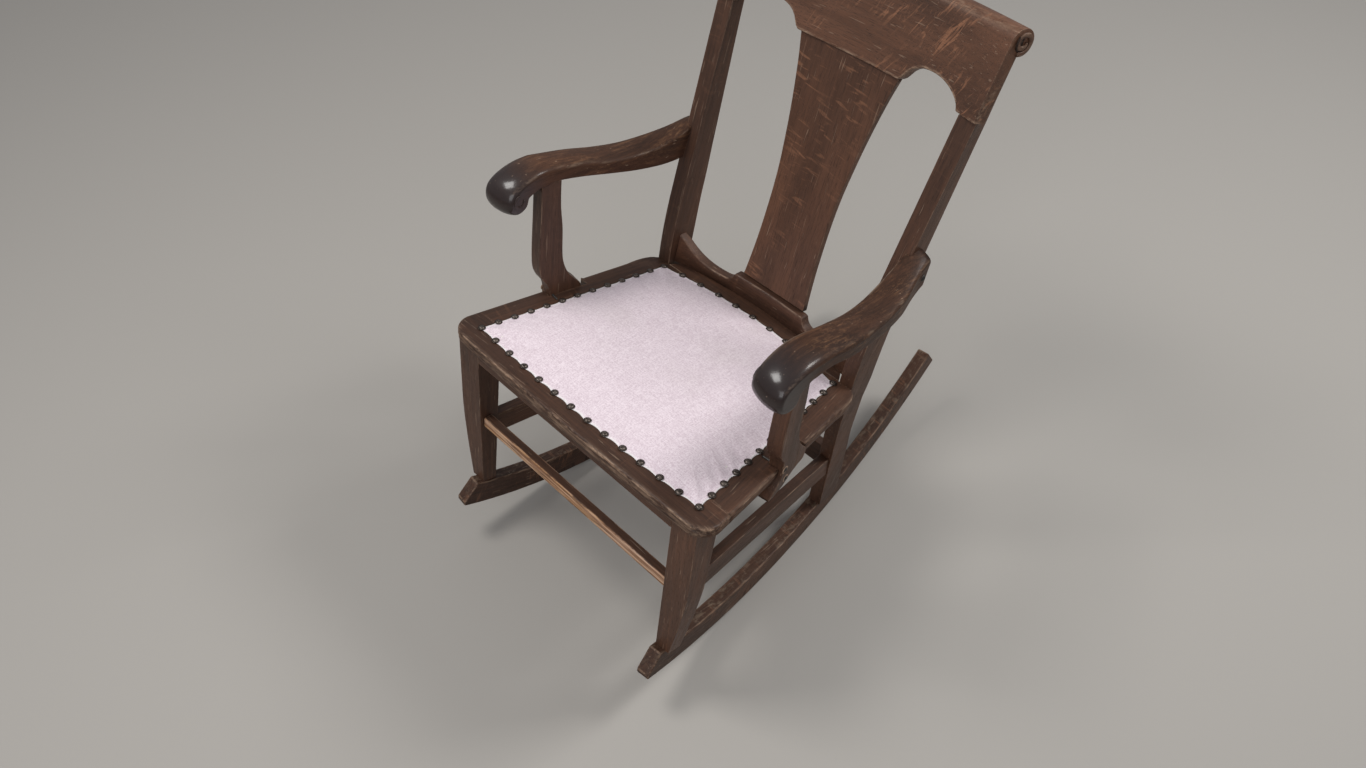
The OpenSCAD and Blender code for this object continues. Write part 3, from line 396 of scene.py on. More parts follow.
def finish_piece(name, bm, material, nodes):
    """Makes the piece of a mesh in metres, rides it and hides the nodes it stands for"""
    mesh = bpy.data.meshes.new(name)
    bm.to_mesh(mesh)
    bm.free()
    mesh.polygons.foreach_set("use_smooth", [True] * len(mesh.polygons))
    piece = bpy.data.objects.new(name, mesh)
    bpy.context.scene.collection.objects.link(piece)
    mesh.materials.append(material)
    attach(piece, "root")
    if nodes:
        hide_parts(*nodes)
    return piece


def level_normals(piece):
    """Keeps flat faces flat between rounded edges"""
    even = piece.modifiers.new("Even", "WEIGHTED_NORMAL")
    even.keep_sharp = True
    even.weight = 80


def point_values(piece, name, values):
    """Keeps a value, or a vector, on each point of the piece for its material to read"""
    vectors = isinstance(values[0], Vector)
    layer = (piece.data.attributes.get(name)
             or piece.data.attributes.new(name, "FLOAT_VECTOR" if vectors else "FLOAT", "POINT"))
    if vectors:
        layer.data.foreach_set("vector", [x for v in values for x in v])
    else:
        layer.data.foreach_set("value", values)


def lay_grain(piece, along=DEEP, across=WIDE, seed=0.0, place=None):
    """Gives each point its place along, across and through the board, in metres"""
    a = Vector(along).normalized()
    b = Vector(across)
    b = (b - a * b.dot(a)).normalized()
    c = a.cross(b)
    place = place or (lambda s: (s.dot(a), s.dot(b), s.dot(c)))
    shift = Vector((seed * 1.37, seed * 0.71, seed * 2.13))
    spots = [SEAT_BACK @ v.co for v in piece.data.vertices]
    point_values(piece, "grain", [Vector(place(s)) * 0.001 + shift for s in spots])
    return piece


def round_edges(bm, edges, width, steps):
    """Rounds the given edges and marks the middle of the rounding as worn"""
    made = bmesh.ops.bevel(bm, geom=edges, offset=width, offset_type="OFFSET", segments=steps, profile=0.5,
                           affect="EDGES", clamp_overlap=True)
    fresh = set(made["faces"])
    worn = bm.verts.layers.float.new("worn")
    for v in bm.verts:
        v[worn] = 1.0 if v.link_faces and all(f in fresh for f in v.link_faces) else 0.0


def round_arrises(bm, width, steps, angle=28.0):
    """Rounds every edge that is sharper than angle"""
    sharp = [e for e in bm.edges if len(e.link_faces) == 2 and e.calc_face_angle(0) > math.radians(angle)]
    round_edges(bm, sharp, width, steps)


def mark(piece, name, rule):
    """Gives each point a value, worked out from its place and its normal in the seat's frame"""
    turn = SEAT_BACK.to_3x3()
    point_values(piece, name, [max(0.0, min(1.0, rule(SEAT_BACK @ v.co, (turn @ v.normal).normalized())))
                               for v in piece.data.vertices])


def eased_copy(node, material, width, steps=3):
    """A CAD piece with its arrises rubbed round"""
    bm = bmesh.new()
    bm.from_mesh(NODES[node].data)
    bmesh.ops.remove_doubles(bm, verts=bm.verts, dist=1e-5)
    bmesh.ops.dissolve_limit(bm, angle_limit=math.radians(0.6), verts=bm.verts, edges=bm.edges)
    round_arrises(bm, width, steps)
    piece = finish_piece(node + "_wood", bm, material, [node])
    level_normals(piece)
    return piece


def loft(rings, caps=True):
    """A skin over closed rings that have the same number of points"""
    bm = bmesh.new()
    rows = [[bm.verts.new(p) for p in ring] for ring in rings]
    n = len(rings[0])
    for low, high in zip(rows, rows[1:]):
        for i in range(n):
            bm.faces.new((low[i], low[(i + 1) % n], high[(i + 1) % n], high[i]))
    if caps:
        bm.faces.new(rows[0][::-1])
        bm.faces.new(rows[-1])
    bmesh.ops.recalc_face_normals(bm, faces=bm.faces)
    return bm


def split_caps(bm):
    """Triangles for the ends of a skin"""
    bmesh.ops.triangulate(bm, faces=[f for f in bm.faces if len(f.verts) > 4])
    return bm


def plate(outline, low, high, axis, width):
    """A flat outline that reaches from low to high along the axis x or y, with rounded arrises"""
    def spot(p, h):
        return Vector((h, p[0], p[1]) if axis == "x" else (p[0], h, p[1]))
    bm = loft([[spot(p, h) for p in outline] for h in (low, high)])
    round_edges(bm, list({e for f in bm.faces if len(f.verts) > 4 for e in f.edges}), width, 3)
    return bm


def turned(profile, sides, spot, up):
    """A body of revolution about up at spot. profile is (radius, height), from the bottom to the top"""
    turn = Vector(UP).rotation_difference(Vector(up)).to_matrix()
    round_it = [(math.cos(2 * math.pi * i / sides), math.sin(2 * math.pi * i / sides)) for i in range(sides)]
    return loft([[Vector(spot) + turn @ Vector((r * c, r * s, h)) for c, s in round_it] for r, h in profile])


def join(parts):
    """One mesh of several"""
    whole = bmesh.new()
    for bm in parts:
        mesh = bpy.data.meshes.new("part")
        bm.to_mesh(mesh)
        bm.free()
        whole.from_mesh(mesh)
        bpy.data.meshes.remove(mesh)
    return whole


def side_x(y):
    """Half the seat's width at y"""
    return SEAT_W / 2 - (y - CORNER_CY) * SIDE_TAN


def side_spot(x, y):
    """From the frame of a seat side, x out of the board's edge and y along it"""
    c, s = math.cos(SIDE_ANGLE), math.sin(SIDE_ANGLE)
    return side_x(0) + x * c - y * s, x * s + y * c


def rail_y(x):
    """The front of the lower rail, which is bowed"""
    return BOARD_BACK_Y - x * x / (2 * BACK_R)


# The seat boards' moulded edge as (inset, height, depth of groove there), a plain edge's insets at the same
# heights, and the gap that is left at a seam
EDGE_PROFILE = [(7.0, 0.0, 0), (4.2, -0.12, 0), (2.2, -0.7, 0), (0.9, -1.8, 0), (0.2, -3.3, 0),
                (0.0, -4.8, 0), (0.1, -6.0, 0.3), (0.2, -6.9, 1.6), (0.2, -7.7, 1.7), (0.1, -8.6, 0.4),
                (0.0, -10.0, 0.0), (0.1, -11.3, 0.3), (0.2, -12.1, 1.5), (0.2, -12.8, 1.6), (0.3, -13.6, 0.6),
                (0.5, -15.5, 0.4), (0.7, -17.6, 0.2), (1.6, -18.7, 0), (3.2, -19.0, 0)]
PLAIN_PROFILE = [0.9, 0.35] + [0.0] * 15 + [0.4, 0.9]
SEAM = 0.2


def board(rim):
    """A seat board. rim is a list of (x, y, normal x, normal y, moulded share, groove share)"""
    rings = []
    for k, (inset, z, groove) in enumerate(EDGE_PROFILE):
        ring = []
        for x, y, nx, ny, moulded, deep in rim:
            d = moulded * (inset + groove * deep) + (1 - moulded) * PLAIN_PROFILE[k]
            ring.append(Vector((x - nx * d, y - ny * d, z)))
        rings.append(ring)
    return split_caps(loft(rings))


def outer_edge():
    """The right half of the seat's edge from the front middle to the post, with outward normals"""
    edge, steps = [], 14
    for i in range(steps + 1):
        x = CORNER_CX * i / steps
        y = -FRONT_MARGIN - FRONT_BOW * (1 - (x / CORNER_CX) ** 2)
        slope = 2 * FRONT_BOW * x / CORNER_CX ** 2
        n = Vector((slope, -1)).normalized()
        edge.append((x, y, n.x, n.y, 1, 0.15 + 0.25 * (i / steps) ** 3))
    for i in range(1, steps + 1):
        a = math.radians(-90 + 90 * i / steps)
        nx, ny = math.cos(a), math.sin(a)
        deep = 0.4 + 0.6 * min(1, i / 5)
        edge.append((CORNER_CX + CORNER_R * nx, CORNER_CY + CORNER_R * ny, nx, ny, 1, deep))
    return edge


def side_rim(a, b, steps):
    """The seat's side edge from y = a to y = b"""
    out = (math.cos(SIDE_ANGLE), math.sin(SIDE_ANGLE))
    return [(side_x(y), y, *out, 1, 0.7) for y in (a + (b - a) * i / steps for i in range(steps + 1))]


def mirrored(rim):
    """The left half of a rim, from its right half"""
    return [(-x, y, -nx, ny, m, g) for x, y, nx, ny, m, g in reversed(rim)]


# How rubbed the seat's edge is at each height, in front and at its sides, and how far in that reaches
FRONT_WEAR = [(-18.5, 0.1), (-15, 0.35), (-9, 0.38), (-5, 0.35), (-3.2, 0.8), (-1.8, 0.85), (-0.7, 0.3),
              (0.2, 0.0)]
SIDE_WEAR = [(-16, 0.05), (-10, 0.2), (-5, 0.1), (-3.2, 0.5), (-1.8, 0.55), (-0.7, 0.2), (0.2, 0.0)]
WEAR_IN = 6


def rim_wear(s, n):
    """How rubbed a seat board is: its top arris at the outer edge, most of all in front"""
    x = abs(s.x)
    if x > CORNER_CX and s.y < CORNER_CY:
        near = math.hypot(x - CORNER_CX, s.y - CORNER_CY) > CORNER_R - WEAR_IN
    elif s.y < CORNER_CY:
        near = s.y < WEAR_IN - FRONT_MARGIN - FRONT_BOW * (1 - (x / CORNER_CX) ** 2)
    else:
        near = x > side_x(s.y) - WEAR_IN
    return along_table(FRONT_WEAR if s.y < CORNER_CY - WEAR_IN else SIDE_WEAR, s.z) if near else 0.0


# The notch in each seat board for its arm support, and where the board's back corner starts to round
NOTCH_Y, NOTCH_L, NOTCH_DEEP, NOTCH_FLAT = 138.0, 71.0, 18.0, 4
TAIL_SHARE, TAIL_STEPS = 0.84, 8


def side_board_rim():
    """Outline of the right side board, round from its front seam"""
    start, end = NOTCH_Y, NOTCH_Y + NOTCH_L
    rim = side_rim(FRONT_IN + SEAM, side_spot(0, start)[1] - 3, 12)
    for x, y in ((0, start), (-NOTCH_FLAT, start), (-NOTCH_DEEP, start),
                 (-NOTCH_DEEP, end), (-NOTCH_FLAT, end), (0, end)):
        rim.append((*side_spot(x, y), 0, 0, 0, 0))
    tail_y, back_y = SEAT_D * TAIL_SHARE, SEAT_D - 2 * SEAM
    tail_w = side_x(tail_y) - POST_X
    rim += side_rim(side_spot(0, end)[1] + 3, tail_y, 6)
    for i in range(1, TAIL_STEPS + 1):
        a = math.radians(90 * i / TAIL_STEPS)
        x = POST_X + tail_w * math.cos(a)
        y = tail_y + (back_y - tail_y) * math.sin(a)
        n = Vector((math.cos(a) / tail_w, math.sin(a) / (SEAT_D - tail_y))).normalized()
        rim.append((x, y, n.x, n.y, 1 if i < TAIL_STEPS else 0, 0.5))
    inner = SIDE_BOARD_W / math.cos(SIDE_ANGLE)
    return rim + [(side_x(SEAT_D) - inner, back_y, 0, 0, 0, 0),
                  (side_x(FRONT_IN) - inner, FRONT_IN + SEAM, 0, 0, 0, 0)]


def seat_boards(oak):
    """The four boards round the pad, with the moulded and worn edge in front and at the sides"""
    half = outer_edge() + side_rim(CORNER_CY + 3, FRONT_IN, 4)
    front = board(mirrored(half[1:]) + half)
    piece = new_piece("seat_board_front_wood", front, oak, ["seat_board_front"])
    lay_grain(piece, WIDE, DEEP, 1)
    mark(piece, "worn", rim_wear)
    level_normals(piece)
    for side, mirror in SIDES:
        name = "seat_board_" + side
        piece = new_piece(name + "_wood", board(side_board_rim()), oak, [name], mirror)
        lean = math.sin(SIDE_ANGLE) * (1 if mirror else -1)
        lay_grain(piece, (lean, math.cos(SIDE_ANGLE), 0), WIDE, 2 + mirror)
        mark(piece, "worn", rim_wear)
        level_normals(piece)
    piece = eased_copy("seat_board_back", oak, 0.0006, 2)
    lay_grain(piece, WIDE, DEEP, 4)


# The lower rail's top edge as (x, z)
RAIL_TOP = [(0, 32), (60, 32), (72, 31.8), (75, 26), (80, 20.5), (88, 17.6), (98, 17), (110, 17.2),
            (126, 19.2), (144, 24.5), (160, 32.5), (176, 43.5), (190, 51.5), (200, 54)]
RAIL_T, RAIL_R, RAIL_LEAN = 19, 3.2, math.tan(RAKE) * 0.5


def both_ways(table, step, count, extra):
    """Places across the chair: the table's own, even ones and a few more, from left to right"""
    spots = sorted({float(x) for x, z in table} | {x * step for x in range(count)} | extra)
    return [-v for v in reversed(spots[1:])] + spots


def lower_rail(oak):
    """Bowed rail with its dips beside the splat"""
    rings = []
    for x in both_ways(RAIL_TOP, 4.0, 51, {73.0, 74.0, 76.0, 77.5}):
        top = along_table(RAIL_TOP, abs(x))
        y0, r, lean = rail_y(x), RAIL_R, RAIL_LEAN
        ring = [Vector((x, y0, -SEAM)), Vector((x, y0 + lean * (top - r), top - r))]
        for i in range(1, 5):
            a = math.radians(180 - 90 * i / 4)
            ring.append(Vector((x, y0 + lean * top + r + r * math.cos(a), top - r + r * math.sin(a))))
        for i in range(5):
            a = math.radians(90 - 90 * i / 4)
            back = y0 + RAIL_T - r + r * math.cos(a) + lean * top * 0.4
            ring.append(Vector((x, back, top - r + r * math.sin(a))))
        ring.append(Vector((x, y0 + RAIL_T, -SEAM)))
        rings.append(ring)
    piece = new_piece("lower_back_rail_wood", loft(rings), oak, ["lower_back_rail"])
    lay_grain(piece, WIDE, UP, 5)
    mark(piece, "worn", lambda s, n: 2.6 * (min(-n.y, n.z) - 0.32) if s.z > 5 else 0.0)
    level_normals(piece)


# The crest's lower edge as (x, height), with its two cut-outs
CREST_LOW = [(0, 0), (86, 0), (90.5, 0.4), (94, 3.5), (97.5, 9), (101, 15), (106, 20.5), (112, 24.6),
             (121, 28.2), (132, 30.2), (145, 30.4), (158, 28.4), (170, 24.6), (180, 19.6), (188, 14),
             (192.5, 9.5), (195, 5.5), (196.5, 2.0), (200, 1.2), (205, 0.9), (210, 0), (232, 0)]


def crest_spot(x, back, up):
    """From the crest's own frame, x across, back from its front face and up along its lean"""
    turn = math.asin(x / BACK_R)
    r = BACK_R + back
    p = Vector((r * math.sin(turn), -BACK_R + r * math.cos(turn), up))
    return Matrix.Translation((0, CREST_Y, CREST_Z)) @ Matrix.Rotation(-RAKE, 4, "X") @ p


def crest_width(up):
    """How much wider the crest is at a height than at its foot"""
    return 1 + (CREST_SPREAD / CREST_HALF) * up / CREST_H


def crest_ring(x):
    """Section of the crest at x, from its back lower arris round the front and over the roll"""
    low = along_table(CREST_LOW, abs(x)) if abs(x) < CREST_HALF else 0.0
    r, e = ROLL_D / 2, 2.2
    points = []

    def put(back, up):
        points.append(crest_spot(x * crest_width(up), back, up))

    put(CREST_T - e, low)
    put(e, low)
    put(0.65, low + 0.65)
    put(0, low + e)
    put(0, low + e + 2.5)
    for i in range(1, 7):
        put(0, low + e + (CREST_H - r - low - e) * i / 6)
    for i in range(1, 21):
        a = math.radians(180 - 266 * i / 20)
        put(r + r * math.cos(a), CREST_H - r + r * math.sin(a))
    for i in range(1, 6):
        put(CREST_T, CREST_H - ROLL_D - 1.5 - (CREST_H - ROLL_D - 1.5 - low - e) * i / 5)
    put(CREST_T - 0.45, low + 0.45)
    return points


def crest(oak, shade):
    """Crest panel with its rolled top, cut-outs, the curl on each end of the roll and painted shade behind it"""
    rings = []
    for x in both_ways(CREST_LOW, 6.0, 38, {228.0, 230.5, 231.6}):
        ring = crest_ring(x)
        past = abs(x) - (CREST_HALF - 1)
        if past > 0:
            centre = crest_spot(x * 1.02, CREST_T / 2, CREST_H * 0.55)
            ring = [centre + (p - centre) * (1 - 0.008 * past) for p in ring]
        rings.append(ring)
    piece = new_piece("crest_panel_wood", loft(rings), oak, ["crest_panel"])
    lay_grain(piece, seed=6, place=lambda s: (s.x, s.z - 0.22 * s.y, s.y + 0.22 * s.z))
    wear = [0, 0.8, 1, 0.9, 0] + [0] * 7 + [0.25, 0.35, 0.2]
    wear += [0] * (len(rings[0]) - len(wear))
    point_values(piece, "worn", wear * len(rings))
    level_normals(piece)
    mid_back, mid_up = ROLL_D / 2, CREST_H - ROLL_D / 2
    for side, mirror in SIDES:
        sign = -1 if mirror else 1
        path = []
        for t in (i / 63 for i in range(64)):
            a, r = math.radians(-98 + 470 * t), 14.8 - 10.0 * t
            up = mid_up + r * math.sin(a)
            x = sign * (CREST_HALF + SEAM) * crest_width(up)
            path.append(crest_spot(x, mid_back + r * math.cos(a), up))
        curl = new_piece("crest_curl_" + side, ribbon_mesh(path, sign, 3.1, 2.8), oak)
        lay_grain(curl, DEEP, UP, 7)
        mark(curl, "worn", lambda s, n: 0.25)
        # A near-black disc behind each curl paints the shade that falls in the gaps between its turns
        middle = crest_spot(sign * 236.9, mid_back, mid_up)
        painted_shade_disc = turned([(12.6, -1.5), (12.6, 0.3), (11.8, 0.6)], 24, middle, (sign, 0, 0))
        lay_grain(new_piece("crest_curl_painted_shade_" + side, painted_shade_disc, shade), DEEP, UP, 8)


# Section of a ribbon, as shares of its half width and of how proud it stands
RIBBON = ((-1, -0.4), (-1, 0.6), (-0.86, 0.86), (-0.55, 1), (0.55, 1), (0.86, 0.86), (1, 0.6), (1, -0.4))


def ribbon_mesh(path, sign, half, proud):
    """The visible end of rolled wood: a flat band along a curl, standing proud along x"""
    rings = []
    for i, p in enumerate(path):
        ahead = (path[min(i + 1, len(path) - 1)] - path[max(i - 1, 0)]).normalized()
        out = ahead.cross(Vector((sign, 0, 0))).normalized()
        w = half * min(1.0, 0.35 + (len(path) - 1 - i) / 9)
        rings.append([p + out * (w * a) + Vector((sign * proud * b, 0, 0)) for a, b in RIBBON])
    return loft(rings)


# The splat's half width by the share of its length
SPLAT_HALF = [(0.0, 64.0), (0.06, 62.0), (0.12, 60.2), (0.2, 58.6), (0.3, 57.7), (0.4, 57.7), (0.5, 59.3),
              (0.6, 63.0), (0.7, 67.6), (0.8, 73.4), (0.9, 80.4), (0.96, 85.6), (1.0, 89.4)]
SPLAT_L, SPLAT_LEAN, SPLAT_Y, SPLAT_T = 399.684, math.radians(8.78074), 399.874, 11.0


def splat(oak):
    """Flared splat between the lower rail and the crest"""
    steps = 48
    half = [(along_table(SPLAT_HALF, i / steps), SPLAT_L * i / steps) for i in range(steps + 1)]
    half = [(half[0][0], 2.6)] + half[2:-1] + [(half[-1][0], SPLAT_L + 0.5)]
    outline = half + [(-x, z) for x, z in reversed(half)]
    bm = plate(outline, 0.0, SPLAT_T, "y", 1.4)
    bmesh.ops.transform(bm, verts=bm.verts, matrix=Matrix.Translation((0, SPLAT_Y, RAIL_TOP[0][1]))
                        @ Matrix.Rotation(-SPLAT_LEAN, 4, "X"))
    piece = new_piece("splat_wood", bm, oak, ["splat"])
    lay_grain(piece, (0, math.sin(SPLAT_LEAN), math.cos(SPLAT_LEAN)), WIDE, 8)
    level_normals(piece)


# Arms, by rows of (y, inner x, outer x, inner arris z, outer arris z, underside z)
ARM_ROWS = [(72, 233, 289, 224.0, 222.5, 186), (84, 233, 289, 227.4, 226.6, 190),
            (100, 233, 289, 230.6, 230, 203), (120, 233, 289, 231.6, 231, 206),
            (140, 233, 288, 229.6, 228.5, 207), (190, 232.5, 286, 221.5, 221, 198),
            (240, 228, 279, 211.5, 213.5, 188.5), (290, 221.5, 271, 208, 210, 181),
            (340, 214.5, 260.5, 215, 214.5, 178), (375, 211, 249.5, 227, 223, 180),
            (400, 210, 243.5, 238, 230, 184), (414, 210, 241.5, 242, 232, 187)]
# Middle and radius of the curl on the arm's inner side
CURL_Y, CURL_Z, CURL_R = 70.5, 197.0, 11.6
# The scrolled front's arrises as (y, z), from the lip of the curl under and round to the top
CURL_IN = [(92, 200.5), (87.5, 197.5), (86, 192), (84, 186), (79, 181), (72, 178), (65, 178.5), (58.5, 183),
           (55, 191), (55.5, 200), (60, 209), (68, 216.5), (79, 223), (92, 228), (105, 230.8), (120, 231.6)]
CURL_OUT = [(92, 199), (87.5, 195.5), (86, 190), (84.5, 183), (79, 177), (71, 173.5), (62, 174.5),
            (54.5, 179.5), (50, 187.5), (49, 198), (52, 208), (60, 216), (72, 222.5), (87, 227.5),
            (103, 230.2), (120, 231)]
CURL_STEPS = 3
# Where the arm's top and underside meet the scroll and the post, half its width and its arris
TOP_START, LOW_START, ARM_END = 124, 103, 412
ARM_HALF, ARM_ROUND = 28.0, 5.0
ARM_CROWN = [(110, 6.6), (150, 6.5), (240, 5.2), (330, 4.2), (412, 3.2)]


def arm_value(k, y):
    """The value in column k of the arm's rows, at y"""
    return along_table([(row[0], row[k]) for row in ARM_ROWS], y)


def arm_outline():
    """Side outline of an arm, as (part, place along it)"""
    top = [("top", TOP_START + (ARM_END - TOP_START) * i / 40) for i in range(41)]
    low = [("low", ARM_END - (ARM_END - LOW_START) * i / 30) for i in range(31)]
    return top + low + [("roll", i) for i in range((len(CURL_IN) - 1) * CURL_STEPS + 1)]


def arm_point(kind, v, u):
    """A point of the arm's skin and the way out of it. u runs from -1 on the inner side to 1 on the outer"""
    side = (u + 1) / 2
    bulge = 1 - abs(u) ** 2.4
    if kind == "roll":
        lines = [[Vector(p) for p in smooth_line(curl, CURL_STEPS)] for curl in (CURL_IN, CURL_OUT)]
        line = [p * (1 - side) + q * side for p, q in zip(*lines)]
        ahead = (line[min(v + 1, len(line) - 1)] - line[max(v - 1, 0)]).normalized()
        out = Vector((-ahead.y, ahead.x))
        swell = 6.5 * min(1.0, max(0.0, (v - CURL_STEPS * 1.5) / (CURL_STEPS * 4)))
        p = line[v] + out * (swell * bulge)
        x = arm_value(1, 100) * (1 - side) + arm_value(2, 100) * side
        return Vector((x, p.x, p.y)), Vector((0, out.x, out.y))
    x0, x1 = arm_value(1, v), arm_value(2, v)
    if kind == "top":
        z = arm_value(3, v) * (1 - side) + arm_value(4, v) * side
        z += along_table(ARM_CROWN, v) * bulge
        return Vector((x0 + (x1 - x0) * side, v, z)), Vector((0, 0, 1))
    z = arm_value(5, v) + 1.2 * (1 - bulge)
    return Vector((x0 + 1.0 + (x1 - x0 - 2.0) * side, v, z)), Vector((0, 0, -1))


def arm(side, mirror, oak):
    """One arm: flat sides, a crowned top and a scroll in front, with a curl on its inner side"""
    gaps = [0.0, 0.25, 0.8, 1.6, 2.7, ARM_ROUND, 7.5, 13.0, 20.0]
    rings = []
    for u in [g / ARM_HALF - 1 for g in gaps] + [0.0] + [1 - g / ARM_HALF for g in reversed(gaps)]:
        gap = min((1 - abs(u)) * ARM_HALF, ARM_ROUND)
        drawn = ARM_ROUND - math.sqrt(max(0.0, ARM_ROUND ** 2 - (ARM_ROUND - gap) ** 2))
        ring = []
        for kind, v in arm_outline():
            p, out = arm_point(kind, v, u)
            ring.append(p - out * (drawn * (0.35 if kind == "low" else 0.8)))
        rings.append(ring)
    bm = split_caps(loft(rings))
    piece = new_piece("arm_%s_wood" % side, bm, oak, ["arm_" + side], mirror)
    lay_grain(piece, DEEP, WIDE, 10 + mirror)
    mark(piece, "handled", lambda s, n: 1.25 - (s.y - 56) / 52.0)
    mark(piece, "worn", lambda s, n: (min(abs(n.x), n.z) - 0.35) * (1.6 if s.y < 300 else 3.0))
    level_normals(piece)
    path = []
    for t in (i / 47 for i in range(48)):
        a, r = math.radians(100 + 290 * t), CURL_R * (1 - 0.55 * t)
        path.append(Vector((arm_value(1, 90), CURL_Y + r * math.cos(a), CURL_Z + r * math.sin(a))))
    curl = new_piece("arm_curl_" + side, ribbon_mesh(path, -1, 2.6, 1.2), oak, [], mirror)
    lay_grain(curl, seed=12)
    mark(curl, "handled", lambda s, n: 0.8)


# An arm support: its place, depth and height, how far its two faces are from the seat's side, and its front
# and back edges as shares of the depth and height
SUPPORT_Y, SUPPORT_D, SUPPORT_H, SUPPORT_IN, SUPPORT_OUT = 117, 81, 205.0, -18.0, 7.0
SUPPORT_FRONT = [(0, 1), (0, 0.7), (0, 0.42), (0.025, 0.25), (0.11, 0.16), (0.22, 0.1), (0.275, 0.02),
                 (0.26, -0.06), (0.14, -0.135), (-0.04, -0.2)]
SUPPORT_BACK = [(0.14, -0.205), (0.4, -0.17), (0.6, -0.115), (0.78, -0.085), (0.95, -0.065), (1, -0.02),
                (0.97, 0.035), (0.84, 0.09), (0.66, 0.18), (0.53, 0.33), (0.49, 0.6), (0.43, 0.8), (0.41, 1)]


def arm_support(side, mirror, oak):
    """S-shaped board let into the side of the seat"""
    outline = []
    for d, h in smooth_line(SUPPORT_FRONT, 6) + smooth_line(SUPPORT_BACK, 6):
        y = SUPPORT_Y + SUPPORT_D * d
        outline.append((y, arm_value(5, y * 0.99) + 4 if h > 0.97 else SUPPORT_H * h))
    bm = plate(outline, SUPPORT_IN, SUPPORT_OUT, "x", 1.8)
    for v in bm.verts:
        v.co = Vector((*side_spot(v.co.x, v.co.y), v.co.z))
    piece = new_piece("arm_support_%s_wood" % side, bm, oak, ["arm_support_" + side], mirror)
    lay_grain(piece, UP, DEEP, 14 + mirror)
    level_normals(piece)


# A nail's profile as (radius, height), and how rubbed it is at each of those points
NAIL_SIDES = 20
NAIL_PROFILE = [(0.9, -6.0), (0.9, 0.1), (5.3, 0.1), (5.85, 0.3), (5.95, 0.7), (5.7, 1.05), (5.3, 1.1),
                (4.9, 0.9), (4.6, 1.15), (4.2, 1.8), (3.4, 2.4), (2.4, 2.8), (1.2, 3.05), (0.35, 3.1)]
RUB = [0, 0, 0, 0.05, 0.25, 0.35, 0.1, 0.0, 0.15, 0.55, 0.6, 0.35, 0.7, 1.0]


def nail_places():
    """Nail places round the pad, front row first"""
    corners = ((-NAIL_W, 0), (NAIL_W, 0), (NAIL_BACK_W, NAIL_D), (-NAIL_BACK_W, NAIL_D))
    places = []
    for a, b, n, bow in zip(corners, corners[1:] + corners[:1], (13, 12, 10, 12), (-7, 0, 20, 0)):
        for t in (i / n for i in range(n)):
            x, y = a[0] + (b[0] - a[0]) * t, a[1] + (b[1] - a[1]) * t
            places.append((x, y + bow * (1 - (2 * t - 1) ** 2)))
    return places


def cover_nails(metal):
    """The domed nails round the pad, each a little out of true"""
    noise.seed_set(3)
    parts = []
    for x, y in nail_places():
        wobble = noise.noise_vector(Vector((x * 0.31, y * 0.27, 1.7)))
        up = Vector((wobble.x * 0.12, wobble.y * 0.12, 1)).normalized()
        parts.append(turned(NAIL_PROFILE, NAIL_SIDES, (x + wobble.z * 0.8, y + wobble.x * 0.6, 1.5), up))
    rub = [r for part in parts for r in RUB for i in range(NAIL_SIDES)]
    piece = new_piece("cover_nails_metal", join(parts), metal, ["cover_nails"])
    lay_grain(piece, seed=20)
    point_values(piece, "rub", rub)


def screw_head(spot, out, radius, height, slot_turn):
    """Domed and slotted head: two half domes with a slot between them, over a plain disc"""
    turn = Vector(UP).rotation_difference(Vector(out)).to_matrix() @ Matrix.Rotation(slot_turn, 3, "Z")
    gap, foot = 0.55, -0.6
    parts = []
    for sign in (1, -1):
        rings = []
        for k in range(7):
            a = math.radians(90 * k / 6)
            r, h = radius * math.cos(a), height * math.sin(a)
            ring = [Vector((r * math.cos(t), sign * max(gap, r * math.sin(t)), h))
                    for t in (math.radians(180 * i / 14) for i in range(15))]
            rings.append(ring + [Vector((x * r * 0.98, sign * gap, h - 0.05)) for x in (-1, 1)])
        parts.append(loft([[Vector((p.x, p.y, foot)) for p in rings[0]]] + rings))
    disc = [(radius * 0.97, foot), (radius * 0.97, 0.15), (radius * 0.9, height * 0.45)]
    parts.append(turned(disc, 20, (0, 0, 0), UP))
    whole = join(parts)
    for v in whole.verts:
        v.co = Vector(spot) + turn @ v.co
    return whole


def screw(spot, out, radius, height, slot_turn, shank_r, length):
    """The parts of one screw: its head, and a plain shank behind that"""
    shank = [(shank_r * 0.3, -length), (shank_r, -length + 4), (shank_r, -0.5)]
    return [screw_head(spot, out, radius, height, slot_turn), turned(shank, 12, spot, out)]


# Screws through each support, as shares of its depth and height, and the wood's rim round each
SUPPORT_SCREWS = ((0.33, 0.005), (0.43, -0.105))
SCREW_RIM = [(6.6, -0.5), (6.6, 0.1), (6.2, 0.35), (5.0, 0.35)]


def side_screws(metal, oak):
    """Screws that hold the arms to the posts and the supports to the seat"""
    square = (math.cos(SIDE_ANGLE), math.sin(SIDE_ANGLE), 0)
    spots = [(*side_spot(SUPPORT_OUT, SUPPORT_Y + SUPPORT_D * d), SUPPORT_H * h) for d, h in SUPPORT_SCREWS]
    for side, mirror in SIDES:
        arm_screw = screw((242.6, 399.0, 208.5), (1, 0.12, 0), 5.4, 4.2, 0.6, 2.0, 48)
        low_screws = [part for k, spot in enumerate(spots)
                      for part in screw(spot, square, 4.6, 1.6, 0.4 + k, 1.7, 40)]
        for name, node, parts in (("arm_screw_", "arm_screws", arm_screw),
                                  ("support_screws_", "support_screws", low_screws)):
            piece = new_piece(name + side, join(parts), metal, [node], mirror)
            mark(piece, "rub", lambda s, n: 0.5)
        rims = join([turned(SCREW_RIM, 20, spot, square) for spot in spots])
        piece = new_piece("screw_rims_" + side, rims, oak, [], mirror)
        lay_grain(piece, UP, DEEP, 16)
        mark(piece, "worn", lambda s, n: 1.0)


